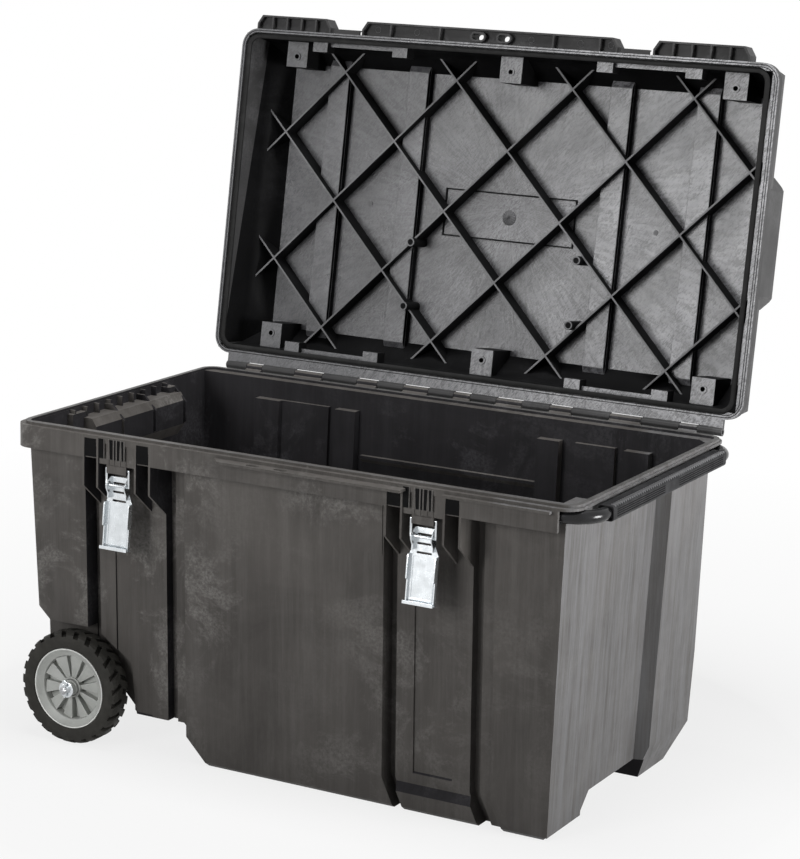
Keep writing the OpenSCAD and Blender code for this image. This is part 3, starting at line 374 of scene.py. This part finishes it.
def matt_plastic(name, dark, pale):
    """Dull black plastic of the grip and the handle's guides."""
    n = Nodes(name)
    colour = n.mix(n.ramp(n.noise(34.0, 6), 0.4, 0.75), dark, pale)
    surface = n.bump(n.noise(800.0, 3), 0.3, GRAIN_DEPTH)
    return n.finish(colour, n.uneven((0.45, 0.62), 70.0, 4), surface, 0.1)


def make_materials():
    """All materials by a short name."""
    black = ((0.012, 0.012, 0.013), (0.034, 0.034, 0.036))
    return {
        # The tub's end face is made paler by brush strokes and by painted light
        "tub": moulded_plastic("tub_plastic", (0.080, 0.074, 0.069), (0.215, 0.206, 0.196),
                               streak=0.18, brushed_and_lit=0.75, shaded_foot=0.34),
        # A darker copy of the tub plastic for its inside faces, which paints their shade
        "tub_inside_shade": moulded_plastic("tub_plastic_inside_shade", (0.026, 0.025, 0.027), (0.074, 0.072, 0.078),
                                      patches=0.6, streak=0.12, rough=(0.36, 0.5), specular=0.04),
        "rim_top": moulded_plastic("rim_top_plastic", (0.085, 0.083, 0.081), (0.180, 0.177, 0.174),
                                   patches=0.6, streak=0.3),
        # Rounded edges: painted highlight on outward ones, painted shade on inward ones
        "tub_edge": edge_highlight_and_shade("tub_edges", (0.016, 0.015, 0.014), (0.155, 0.150, 0.145)),
        "lid": moulded_plastic("lid_plastic", (0.044, 0.0435, 0.044), (0.105, 0.104, 0.107),
                               patches=0.6, rough=(0.36, 0.52), specular=0.12),
        # Flow marks on the ceiling carry painted glints, paler towards +X as painted light
        "ceiling": moulded_plastic("lid_plastic_ceiling", (0.056, 0.056, 0.060), (0.255, 0.255, 0.268),
                                   patches=0.2, flow_glints=0.9, rough=(0.25, 0.37), grain=0.6, specular=0.55),
        # Two copies of the lid plastic that paint light and shade: near black for rib sides, walls, grooves
        # and pockets, and pale for edges as highlights
        "ribs": moulded_plastic("lid_plastic_ribs", (0.0060, 0.0060, 0.0063), (0.016, 0.016, 0.017),
                                patches=0.5, specular=0.03),
        "pale_highlight": moulded_plastic("lid_plastic_highlights", (0.150, 0.150, 0.155), (0.220, 0.220, 0.225),
                                    patches=0.5, specular=0.25),
        "lid_edge": edge_highlight_and_shade("lid_edges", (0.012, 0.012, 0.012), (0.150, 0.150, 0.154)),
        "zinc": zinc_sheet("zinc_steel", (0.66, 0.69, 0.71), (0.20, 0.30)),
        # Paler zinc on the levers' rounded edges, a painted highlight
        "zinc_highlight": zinc_sheet("zinc_edge_highlights", (0.74, 0.77, 0.79), (0.22, 0.30)),
        "bar": zinc_sheet("bar_steel", (0.62, 0.63, 0.64), (0.3, 0.45)),
        "tyre": rubber("tyre_rubber", (0.021, 0.0200, 0.0175), (0.6, 0.78)),
        "tyre_edge": edge_highlight_and_shade("tyre_edges", (0.010, 0.010, 0.010), (0.060, 0.059, 0.058),
                                 rough=(0.5, 0.7), specular=0.2),
        "seal": rubber("seal_rubber", (0.012, 0.012, 0.012), (0.7, 0.85)),
        "hub": hub_plastic("hub_plastic", (0.40, 0.41, 0.39), (0.2, 0.2, 0.19)),
        "hub_edge": edge_highlight_and_shade("hub_edges", (0.16, 0.16, 0.155), (0.60, 0.61, 0.59),
                                rough=(0.4, 0.55), specular=0.4),
        # Pale ring round the hubs, a painted highlight
        "bead": edge_highlight_and_shade("hub_bead", (0.62, 0.63, 0.61), (0.86, 0.87, 0.84),
                            rough=(0.3, 0.42), specular=0.5),
        "tube": gloss_paint("black_tube", (0.006, 0.006, 0.0065), (0.014, 0.014, 0.015)),
        "grip": matt_plastic("grip_plastic", *black),
        "guide": matt_plastic("guide_plastic", *black),
    }


# Materials of each node, by slot; the last of several is for its rounded edges, which carry a painted
# highlight, and on plastic and rubber also painted shade
NODE_LOOKS = {
    "tub": ("tub", "tub_inside_shade", "rim_top", "tub_edge"),
    "lid": ("lid", "ceiling", "ribs", "pale_highlight", "lid_edge"),
    "lid_seal": ("seal",),
    "hinge_rod": ("bar",),
    "axle": ("bar",),
    "axle_washers": ("zinc",),
    "cotter_pins": ("zinc",),
    "front_wheel_hub": ("hub",),
    "rear_wheel_hub": ("hub",),
    "front_tyre": ("tyre", "tyre_edge"),
    "rear_tyre": ("tyre", "tyre_edge"),
    "left_latch_link": ("zinc",),
    "left_latch_lever": ("zinc", "zinc_highlight"),
    "right_latch_link": ("zinc",),
    "right_latch_lever": ("zinc", "zinc_highlight"),
    "tow_handle_tube": ("tube",),
    "tow_handle_grip": ("grip",),
    "handle_end_stops": ("guide",),
    "front_handle_guides": ("guide",),
    "rear_handle_guides": ("guide",),
}
# Widths of the nodes' rounded edges, in mm, and the angle from which an edge is rounded
ROUNDING = {
    "tub": 1.6, "lid": 1.2, "front_tyre": 0.7, "rear_tyre": 0.7,
    "left_latch_lever": 0.4, "right_latch_lever": 0.4,
}
SHARP_ANGLE = math.radians(28)
# Points of a CAD mesh that are closer than this become one
WELD_GAP = 0.01 * MM

# Hinge of the lid, how far it is open, and the direction in which its ceiling then faces
HINGE = Vector((0, 0.3, 0.516))
LID_OPEN = math.radians(98.5)
CEILING = Vector((0, -math.sin(LID_OPEN), -math.cos(LID_OPEN)))
# Way from the closed lid's own frame, in metres up from its rim, to its open place
LID_RIM_Z = 0.5145
LID_PLACE = (Matrix.Translation(HINGE) @ Matrix.Rotation(-LID_OPEN, 4, "X") @ Matrix.Translation(-HINGE)
             @ Matrix.Translation((0, 0, LID_RIM_Z)))
LID_BACK = LID_PLACE.inverted()

# Where the tub's faces change their material, in metres
FLANGE_Z = 0.45
RIM_TOP_Z = 0.5155
TUB_INSIDE_Y = 0.235
# Where the closed lid's faces change their material, in mm in its own frame: its inside, the face
# of its rim, and the bulges at its ends
INSIDE_X, INSIDE_Y, INSIDE_Z = 474, 273, (3, 106.5)
RIM_FACE_Y = 291
BULGE_X, BULGE_Y = 436, (80, 113)
# Heights of the ribs' edges, the posts' ends, and the thin frame and the small discs on the ceiling
RIB_EDGE_Z = (60, 80)
POST_END_Z = (57.5, 58.5)
FRAME_Z = (103, 104.5)
DISC_Z = (104.5, 105.5)


def between(value, limits):
    return limits[0] < value < limits[1]


def tub_slot(centre, normal):
    """Slot of one of the tub's faces: 0 outside, 1 inside, in a darker copy of the plastic that paints
    shade, 2 the rim's top.
    """
    if centre.z > FLANGE_Z and normal.z > 0.9:
        return 2 if centre.z > RIM_TOP_Z else 0
    if normal.z > 0.7:
        return int(abs(centre.y) < TUB_INSIDE_Y)
    inward = normal.x * centre.x + normal.y * centre.y < -0.02
    return int(inward and abs(normal.z) < 0.5)


def lid_slot(centre, normal):
    """Slot of one of the lid's faces: 0 outside, 1 the ceiling, 2 walls and rib sides in black painted
    shade, 3 rib edges in pale painted highlight.
    """
    local = (LID_BACK @ centre) / MM
    way = LID_BACK.to_3x3() @ normal
    down = way.z < -0.85
    if abs(local.x) > INSIDE_X or abs(local.y) > INSIDE_Y or not between(local.z, INSIDE_Z):
        return int(down and local.z < INSIDE_Z[0] and abs(local.y) < RIM_FACE_Y)
    # The outside of the dome, and the sides of the bulges at its ends
    bulge = abs(local.x) > BULGE_X and between(abs(local.y), BULGE_Y) and way.y * local.y > 20
    if way.z > 0.03 or bulge:
        return 0
    # Walls and rib sides take the black painted shade, and so do the thin frame and the posts' ends; the
    # rib edges and the small discs take the pale painted highlight
    if not down or between(local.z, FRAME_Z) or between(local.z, POST_END_Z):
        return 2
    return 3 if between(local.z, RIB_EDGE_Z) or between(local.z, DISC_Z) else 1


FACE_SLOTS = {"tub": tub_slot, "lid": lid_slot}


def round_edges(obj, width):
    """Bevel of the sharp edges, its width in mm, in the last material slot."""
    bevel = obj.modifiers.new("rounding", "BEVEL")
    bevel.width = width * MM
    bevel.segments = 2
    bevel.limit_method = "ANGLE"
    bevel.angle_limit = SHARP_ANGLE
    bevel.material = len(obj.data.materials) - 1
    return bevel


def dress_node(name, materials):
    """Give a CAD node its materials, rounded edges and smooth shading."""
    obj = NODES[name]
    obj.data.materials.clear()
    for material in materials:
        obj.data.materials.append(material)
    for face in obj.data.polygons:
        face.use_smooth = True
        face.material_index = FACE_SLOTS[name](face.center, face.normal) if name in FACE_SLOTS else 0
    obj.modifiers.new("weld", "WELD").merge_threshold = WELD_GAP
    if name in ROUNDING:
        round_edges(obj, ROUNDING[name]).miter_outer = "MITER_ARC"
    smooth = obj.modifiers.new("normals", "WEIGHTED_NORMAL")
    smooth.keep_sharp = True
    smooth.weight = 80


def add_piece(name, shape, looks, body, bevel=0.0, replaces=None):
    """A piece on a body, from a shape, which is a pair of points and faces.

    The last of its looks is for the rounded edges, if it has such.
    """
    verts, faces = shape
    mesh = bpy.data.meshes.new(name)
    mesh.from_pydata([tuple(v) for v in verts], [], faces)
    work = bmesh.new()
    work.from_mesh(mesh)
    bmesh.ops.recalc_face_normals(work, faces=work.faces)
    work.to_mesh(mesh)
    work.free()
    for look in looks:
        mesh.materials.append(MATERIALS[look])
    for face in mesh.polygons:
        face.use_smooth = True
    obj = bpy.data.objects.new(name, mesh)
    bpy.context.scene.collection.objects.link(obj)
    if bevel:
        round_edges(obj, bevel)
    obj.modifiers.new("normals", "WEIGHTED_NORMAL").keep_sharp = True
    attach(obj, body)
    if replaces:
        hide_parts(replaces)
    return obj


def lathe(profile, segments, wave=0.0, waves=0):
    """A closed outline of (radius, height) in mm, turned about Z; wave flutes what is below 0."""
    verts, faces = [], []
    n = len(profile)
    for k in range(segments):
        a = 2 * math.pi * k / segments
        for r, h in profile:
            h += wave * math.cos(waves * a) if h < 0 else 0
            verts.append(Vector((r * math.cos(a), r * math.sin(a), h)) * MM)
    for k in range(segments):
        m = (k + 1) % segments
        for i in range(n):
            j = (i + 1) % n
            faces.append((k * n + i, m * n + i, m * n + j, k * n + j))
    return verts, faces


def moved(shape, matrix):
    verts, faces = shape
    return [matrix @ v for v in verts], faces


def join(shapes):
    """One shape out of several."""
    verts, faces = [], []
    for more_verts, more_faces in shapes:
        start = len(verts)
        verts += more_verts
        faces += [tuple(i + start for i in face) for face in more_faces]
    return verts, faces


def block_faces(n):
    """Faces of a block with n corners at each end."""
    ends = [tuple(range(n)), tuple(range(n, 2 * n))]
    return ends + [(i, (i + 1) % n, n + (i + 1) % n, n + i) for i in range(n)]


def prism(outline, tops, bottom):
    """An upright block over an outline in mm, with its own height at each corner."""
    verts = [Vector((x, y, bottom)) * MM for x, y in outline]
    verts += [Vector((x, y, h)) * MM for (x, y), h in zip(outline, tops)]
    return verts, block_faces(len(outline))


def block(low, high, taper_x=0.0, taper_y=0.0):
    """A block between two corners in mm; the tapers draw in its second end."""
    (x0, y0, z0), (x1, y1, z1) = low, high
    verts = [(x, y, z0) for x, y in ((x0, y0), (x1, y0), (x1, y1), (x0, y1))]
    x0, x1, y0, y1 = x0 + taper_x, x1 - taper_x, y0 + taper_y, y1 - taper_y
    verts += [(x, y, z1) for x, y in ((x0, y0), (x1, y0), (x1, y1), (x0, y1))]
    return [Vector(v) * MM for v in verts], block_faces(4)


def rounded_outline(w, h, r, steps):
    """Points of a rounded rectangle about the origin."""
    points = []
    for cx, cy, start in ((1, 1, 0), (-1, 1, 90), (-1, -1, 180), (1, -1, 270)):
        for k in range(steps + 1):
            a = math.radians(start + 90 * k / steps)
            points.append((cx * (w / 2 - r) + r * math.cos(a), cy * (h / 2 - r) + r * math.sin(a)))
    return points


def loop_strip(half_x, half_y, r, profile):
    """A strip round a rounded rectangle; the profile gives (distance inward, height) in mm."""
    verts, faces = [], []
    for inset, h in profile:
        loop = rounded_outline(2 * (half_x - inset), 2 * (half_y - inset), r - inset, 8)
        verts += [Vector((x, y, h)) * MM for x, y in loop]
    count = len(loop)
    for k in range(len(profile)):
        m = (k + 1) % len(profile)
        for i in range(count):
            j = (i + 1) % count
            faces.append((k * count + i, k * count + j, m * count + j, m * count + i))
    return verts, faces


# Wheel hub, in mm: its rim, the foot of the dished ring, the disc, the boss and the sleeve on the axle
HUB_R, HUB_HALF = 65, 18
DISH_R = 51
DISC_TOP, DISC_BACK = -1.5, -4
BOSS_R, BOSS_TOP = 16.5, 10.5
SLEEVE_R, SLEEVE_BACK_R, BORE_R = 11, 15, 6.05
HUB_SEGMENTS = 72
# Its blades: how many, the share of the disc that they cover, and where the first one stands, in
# degrees, then their ends, the heights of their four corners, and their foot
BLADES = 10
BLADE_SHARE = 0.62
BLADE_START = 8
BLADE_R = (15.5, 52)
BLADE_TOPS = (6.6, 5.6, 9.8, 9.0)
BLADE_FOOT = -2.5


def hub_shape(front, back):
    """Hub about +Z, its outer side up: a dished ring, tilted blades over a disc, and a stepped boss."""
    rim = [(HUB_R - 4, 1 - HUB_HALF), (HUB_R, -HUB_HALF), (HUB_R, HUB_HALF), (HUB_R - 3.2, HUB_HALF)]
    dish = [(60, 16.4), (57, 14), (53.8, 12.2), (52, 11.2), (51.2, 8), (DISH_R, DISC_TOP)]
    boss = [(BOSS_R, DISC_TOP), (BOSS_R, BOSS_TOP), (14, BOSS_TOP), (13.6, 9), (12.4, 9), (12, 13)]
    sleeve = [(SLEEVE_R, 13.6), (SLEEVE_R, front), (BORE_R, front), (BORE_R, -back)]
    behind = [(SLEEVE_BACK_R, -back), (SLEEVE_BACK_R, DISC_BACK), (53, DISC_BACK), (58, -8)]
    shapes = [lathe(rim + dish + boss + sleeve + behind, HUB_SEGMENTS)]
    half = math.radians(360 / BLADES * BLADE_SHARE / 2)
    near, far = BLADE_R
    for i in range(BLADES):
        a = math.radians(i * 360 / BLADES + BLADE_START)
        corners = ((near, a - half), (far, a - half), (far, a + half), (near, a + half))
        outline = [(r * math.cos(t), r * math.sin(t)) for r, t in corners]
        shapes.append(prism(outline, BLADE_TOPS, BLADE_FOOT))
    return join(shapes)


def add_hubs():
    """Castings that stand for the plain hubs, each with a bright ring round its outer side as a painted
    highlight.
    """
    bead = lathe([(62.9, 17.2), (63.2, 18.6), (64.0, 19.2), (64.8, 18.6), (64.9, 17.2)], HUB_SEGMENTS)
    for side, sign in (("front", -1), ("rear", 1)):
        wheel = side + "_wheel"
        low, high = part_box(wheel + "_hub")
        tyre_low, tyre_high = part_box(side + "_tyre")
        middle = (tyre_low + tyre_high) / 2
        to_front, to_rear = (middle.y - low.y) / MM, (high.y - middle.y) / MM
        casting = hub_shape(to_front, to_rear) if side == "front" else hub_shape(to_rear, to_front)
        place = Matrix.Translation(middle) @ Matrix.Rotation(math.radians(-90 * sign), 4, "X")
        add_piece(side + "_hub_casting", moved(casting, place), ("hub", "hub_edge"), wheel, bevel=0.6,
                  replaces=wheel + "_hub")
        add_piece(side + "_hub_bead", moved(bead, place), ("bead",), wheel)


# Grip of the tow handle, in mm: corner radius and steps, end chamfer, plain ends, half of the plain
# band, how soon a groove reaches its depth, and the bore for the tube
GRIP_CORNER, GRIP_STEPS = 5, 5
GRIP_CHAMFER = 0.8
GRIP_PLAIN_END = 12
GRIP_BAND = 26
GROOVE_RUN = 0.6
GRIP_BORE = 10.1
# Its grooves: depth, distance, and half widths at the top and the foot
GROOVE_DEPTH = 0.8
GROOVE_PITCH = 3.0
GROOVE_TOP, GROOVE_FOOT = 0.8, 0.5
# Its teeth: how many, height, slope, half width, both ends back from the outer side, root and how
# much of the grip stays plain at each end
TEETH = 56
TOOTH_H, TOOTH_SLOPE = 1.2, 0.3
TOOTH_HALF = 1.2
TOOTH_REACH = (8, 1)
TOOTH_ROOT = -4.5
TOOTH_PLAIN_END = 8


def grip_outline(w, h, r, depth):
    """Section of the grip, with fine grooves down its outer side."""
    flat = h / 2 - r
    count = int(2 * flat / GROOVE_PITCH)
    side = []
    for k in range(count):
        z = -flat + (k + 0.5) * 2 * flat / count
        side += [(w / 2, z - GROOVE_TOP), (w / 2 - depth, z - GROOVE_FOOT),
                 (w / 2 - depth, z + GROOVE_FOOT), (w / 2, z + GROOVE_TOP)]
    return rounded_outline(w, h, r, GRIP_STEPS) + side


def grip_teeth(w, top, half, centre):
    """Row of teeth along the top, at the grip's outer side."""
    back, front = w / 2 - TOOTH_REACH[0], w / 2 - TOOTH_REACH[1]
    outline = [(back, -TOOTH_HALF), (front, -TOOTH_HALF), (front, TOOTH_HALF), (back, TOOTH_HALF)]
    low = TOOTH_H - TOOTH_SLOPE
    verts, faces = prism(outline, (TOOTH_H, low, low, TOOTH_H), TOOTH_ROOT)
    first = TOOTH_PLAIN_END - half
    step = -2 * first / (TEETH - 1)
    places = [centre + Vector((0, first + k * step, top)) * MM for k in range(TEETH)]
    return [([place + v for v in verts], faces) for place in places]


def add_grip():
    """Sleeve of the tow handle: two grooved zones with a plain band between them, and teeth on top."""
    lo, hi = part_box("tow_handle_grip")
    w, h = (hi.x - lo.x) / MM, (hi.z - lo.z) / MM - TOOTH_H
    half = (hi.y - lo.y) / MM / 2
    centre = Vector(((lo.x + hi.x) / 2, (lo.y + hi.y) / 2, lo.z + h * MM / 2))
    # Stations along it, as place, inset and depth of the grooves: one half, then the same mirrored
    stations = [(-half, GRIP_CHAMFER, 0), (GRIP_CHAMFER - half, 0, 0), (GRIP_PLAIN_END - half, 0, 0),
                (GRIP_PLAIN_END + GROOVE_RUN - half, 0, GROOVE_DEPTH),
                (-GRIP_BAND - GROOVE_RUN, 0, GROOVE_DEPTH), (-GRIP_BAND, 0, 0)]
    stations += [(-y, inset, depth) for y, inset, depth in reversed(stations)]
    verts, faces = [], []
    for y, inset, depth in stations:
        section = grip_outline(w - 2 * inset, h - 2 * inset, GRIP_CORNER - inset, depth)
        verts += [centre + Vector((x, y, z)) * MM for x, z in section]
    # Bore for the tube, point for point with the outline
    for y in (half, -half):
        for x, z in section:
            a = math.atan2(z, x)
            verts.append(centre + Vector((GRIP_BORE * math.cos(a), y, GRIP_BORE * math.sin(a))) * MM)
    n = len(section)
    rings = len(stations) + 2
    for k in range(rings):
        m = (k + 1) % rings
        faces += [(k * n + i, k * n + (i + 1) % n, m * n + (i + 1) % n, m * n + i) for i in range(n)]
    # Faces in the grooves: three of the four that each groove adds after the corners' points
    corners = 4 * (GRIP_STEPS + 1)
    grooved = [k * n + i for k in range(len(stations) - 1) if stations[k][2] and stations[k + 1][2]
               for i in range(corners, n) if (i - corners) % 4 < 3]
    shape = join([(verts, faces)] + grip_teeth(w, h / 2, half, centre))
    grip = add_piece("ribbed_grip", shape, ("grip", "ribs", "pale_highlight"), "tow_handle",
                     replaces="tow_handle_grip")
    # Groove floors take the near-black painted shade, and the teeth the pale painted highlight
    for i in grooved:
        grip.data.polygons[i].material_index = 1
    for face in grip.data.polygons[rings * n:]:
        face.material_index = 2


# In the closed lid's own frame, in mm: its rim's outline, the lines on it, the ceiling's height, and
# the height of the posts' ends and the places of the posts
LID_HALF_X, LID_HALF_Y, LID_CORNER = 490, 280, 30
RIM_LINE_INSETS = (2.6, 6.4)
CEILING_Z = 106
POST_Z = 58
POSTS = ((-157, 57), (-159, 166), (152, 58), (150, 165))
# Ridges across the ceiling: their places, half width, half length, root, top and how much they taper
RIDGE_X = (-342, -188, 188, 342)
RIDGE_HALF_X, RIDGE_HALF_Y = 19.5, 244
RIDGE_ROOT_Z, RIDGE_TOP_Z = 95.5, 88
RIDGE_TAPER_X, RIDGE_TAPER_Y = 0.5, 14
# Ejector rings on the floors of the flange's pockets
EJECTOR_X = (-236, -162, 50, 138, 192)
EJECTOR_Y, EJECTOR_Z = -292, 18


def on_lid(shape, x=0.0, y=0.0, z=0.0):
    """Move a shape by mm in the closed lid's frame, and on to the open lid."""
    verts, faces = shape
    return [LID_PLACE @ (v + Vector((x, y, z)) * MM) for v in verts], faces


def add_rim_lines():
    """Two fine dark lines round the rim: shallow grooves whose darkness is painted shade."""
    for k, inset in enumerate(RIM_LINE_INSETS):
        profile = [(inset, 0.3), (inset + 0.1, -0.2), (inset + 1.2, -0.2), (inset + 1.3, 0.3)]
        strip = loop_strip(LID_HALF_X, LID_HALF_Y, LID_CORNER, profile)
        add_piece("lid_rim_line_%d" % (k + 1), on_lid(strip), ("ribs",), "lid")


def add_centre_mark():
    """Fluted mark in the middle of the ceiling, in the pale material of the painted highlights."""
    profile = [(0.2, 0.3), (13, 0.3), (12, -0.7), (9, -1.3), (6.5, -2.5), (4, -2.6), (3, -3), (0.2, -3)]
    mark = lathe(profile, 96, wave=0.45, waves=16)
    add_piece("ceiling_centre_mark", on_lid(mark, z=CEILING_Z), ("pale_highlight",), "lid")


def add_posts():
    """Hollow posts, with pale ends as a painted highlight and the rest dark as painted shade."""
    profile = [(4.9, 0.4), (4.9, 12), (0.3, 12), (0.3, 48.2), (7.6, 48.2), (7.4, 0), (7, -0.7), (5.2, -0.7)]
    post = lathe(profile, 32)
    shape = join([on_lid(post, x, y, POST_Z) for x, y in POSTS])
    posts = add_piece("ceiling_posts", shape, ("ribs", "pale_highlight"), "lid")
    for face in posts.data.polygons:
        face.material_index = int((LID_BACK @ face.center).z < (POST_Z + 0.4) * MM)


def add_ridges():
    """Four ridges that stand deeper than those in the model, their sides dark as painted shade and their
    rounded edges pale as a painted highlight.
    """
    for k, x in enumerate(RIDGE_X):
        shape = block((x - RIDGE_HALF_X, -RIDGE_HALF_Y, RIDGE_ROOT_Z),
                      (x + RIDGE_HALF_X, RIDGE_HALF_Y, RIDGE_TOP_Z), RIDGE_TAPER_X, RIDGE_TAPER_Y)
        ridge = add_piece("ceiling_ridge_%d" % (k + 1), on_lid(shape), ("ceiling", "ribs", "pale_highlight"),
                          "lid", bevel=0.9)
        for face in ridge.data.polygons:
            face.material_index = int(face.normal.dot(CEILING) < 0.8)


def add_ejector_rings():
    ring = lathe([(4.2, 0.3), (4.5, -0.5), (5.3, -0.5), (5.6, 0.3)], 32)
    shape = join([on_lid(ring, x, EJECTOR_Y, EJECTOR_Z) for x in EJECTOR_X])
    add_piece("flange_ejector_rings", shape, ("lid_edge",), "lid")


# Front face of the rim's skirt, and a height just under its lower edge, in mm
SKIRT_Y = -280
SKIRT_Z = 478.5
# Dark sheets of painted shade over the pockets between the bracket plates, as left, right and top, from the
# middle of the latch
POCKET_SHADES = ((-58.5, -37, 507), (-32.5, -21, 509), (-14, 16, 509), (37, 58.5, 507))
POCKET_STAND = 0.4
# Fins over the latch, as middle, width and taper
FINS = ((-21.5, 1.6, 0), (-13, 4.4, 1.2), (-4.2, 2.2, 0), (1.2, 2.2, 0), (9, 4.4, 1.2), (15.5, 2.4, 0))
FIN_TOP = 509.5
FIN_STAND = 1.5


def add_latch_bays():
    """Fins over each latch, and dark sheets of painted shade in the pockets between its bracket plates, on
    the rim's skirt.
    """
    for side in ("left", "right"):
        low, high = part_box(side + "_latch_link")
        cx = (low.x + high.x) / 2 / MM
        shade_sheets = [block((cx + x0, SKIRT_Y - POCKET_STAND, SKIRT_Z), (cx + x1, SKIRT_Y + 1, top))
                   for x0, x1, top in POCKET_SHADES]
        add_piece(side + "_latch_pocket_shades", join(shade_sheets), ("ribs",), "chest")
        fins = [block((cx + x - w / 2, SKIRT_Y - FIN_STAND, SKIRT_Z),
                      (cx + x + w / 2, SKIRT_Y + 1, FIN_TOP), taper_x=taper) for x, w, taper in FINS]
        add_piece(side + "_latch_fins", join(fins), ("tub", "tub_edge"), "chest", bevel=0.5)


# Floor and world
FLOOR_HALF = 12.0
FLOOR_Z = -0.5 * MM
FLOOR_SHADE = (0.6, 0.6, 0.6)
# Share of the floor's own glow near the object, and the distances over which it grows to all of it
FLOOR_GLOW = 0.80
GLOW_REACH = (0.7, 2.2)
WORLD_LIGHT = 0.05
WHITE = (1, 1, 1, 1)


def seen_ray(tree):
    """1 where a camera, glossy or transmission ray looks, else 0."""
    path = tree.nodes.new("ShaderNodeLightPath")
    total = path.outputs["Is Camera Ray"]
    for name in ("Is Glossy Ray", "Is Transmission Ray"):
        n = tree.nodes.new("ShaderNodeMath")
        n.operation = "MAXIMUM"
        tree.links.new(total, n.inputs[0])
        tree.links.new(path.outputs[name], n.inputs[1])
        total = n.outputs[0]
    return total


def mix_shaders(tree, share, a, b, out):
    n = tree.nodes.new("ShaderNodeMixShader")
    tree.links.new(share, n.inputs[0])
    tree.links.new(a, n.inputs[1])
    tree.links.new(b, n.inputs[2])
    tree.links.new(n.outputs[0], out)


def add_floor():
    """White paper: where it is seen it glows, so that only the object's faint shadow shows on it."""
    paper = Nodes("floor_paper")
    paper.finish(FLOOR_SHADE, 0.9)
    white = paper.tree.nodes.new("ShaderNodeEmission")
    white.inputs["Color"].default_value = WHITE
    white.inputs["Strength"].default_value = 1.0
    away = paper.math("POWER", paper.span(paper.distance(), *GLOW_REACH), 0.5)
    glow = paper.math("ADD", paper.product(away, 1 - FLOOR_GLOW), FLOOR_GLOW)
    seen = paper.product(seen_ray(paper.tree), glow)
    mix_shaders(paper.tree, seen, paper.bsdf.outputs[0], white.outputs[0], paper.out.inputs["Surface"])
    mesh = bpy.data.meshes.new("floor")
    s = FLOOR_HALF
    mesh.from_pydata([(-s, -s, 0), (s, -s, 0), (s, s, 0), (-s, s, 0)], [], [(0, 1, 2, 3)])
    mesh.materials.append(paper.mat)
    floor = bpy.data.objects.new("floor", mesh)
    floor.location.z = FLOOR_Z
    bpy.context.scene.collection.objects.link(floor)


def add_world():
    """White where it is seen, and a weak light on the object."""
    world = bpy.data.worlds.new("studio")
    bpy.context.scene.world = world
    world.use_nodes = True
    tree = world.node_tree
    tree.nodes.clear()
    out = tree.nodes.new("ShaderNodeOutputWorld")
    shades = []
    for strength in (WORLD_LIGHT, 1.0):
        n = tree.nodes.new("ShaderNodeBackground")
        n.inputs["Color"].default_value = WHITE
        n.inputs["Strength"].default_value = strength
        shades.append(n.outputs[0])
    mix_shaders(tree, seen_ray(tree), *shades, out.inputs["Surface"])


# Lamps: name, place, point looked at, size and power. The key stands right of the box, and low, so
# that the lid's wall keeps it off the ribs. The lid's ceiling mirrors the fill on its right side.
LAMPS = (
    ("key", (2.9, 0.05, 0.62), (0.3, 0, 0.4), (0.9, 0.9), 84),
    ("fill", (-1.10, -3.4, 1.45), (-0.1, 0, 0.5), (1.3, 1.5), 68),
    ("top", (0.1, -0.25, 3.0), (0.1, -0.1, 0.5), (1.4, 1.0), 58),
)


def add_lamp(name, place, target, size, power):
    data = bpy.data.lights.new(name, "AREA")
    data.shape = "RECTANGLE"
    data.size, data.size_y = size
    data.energy = power
    lamp = bpy.data.objects.new(name, data)
    lamp.location = place
    lamp.rotation_euler = (Vector(target) - Vector(place)).to_track_quat("-Z", "Y").to_euler()
    bpy.context.scene.collection.objects.link(lamp)


make_camera()
MATERIALS = make_materials()
for node_name, node_looks in NODE_LOOKS.items():
    dress_node(node_name, [MATERIALS[look] for look in node_looks])
add_hubs()
add_grip()
add_rim_lines()
add_centre_mark()
add_posts()
add_ridges()
add_ejector_rings()
add_latch_bays()
add_floor()
add_world()
for lamp_values in LAMPS:
    add_lamp(*lamp_values)

bpy.context.scene.view_settings.view_transform = "Standard"
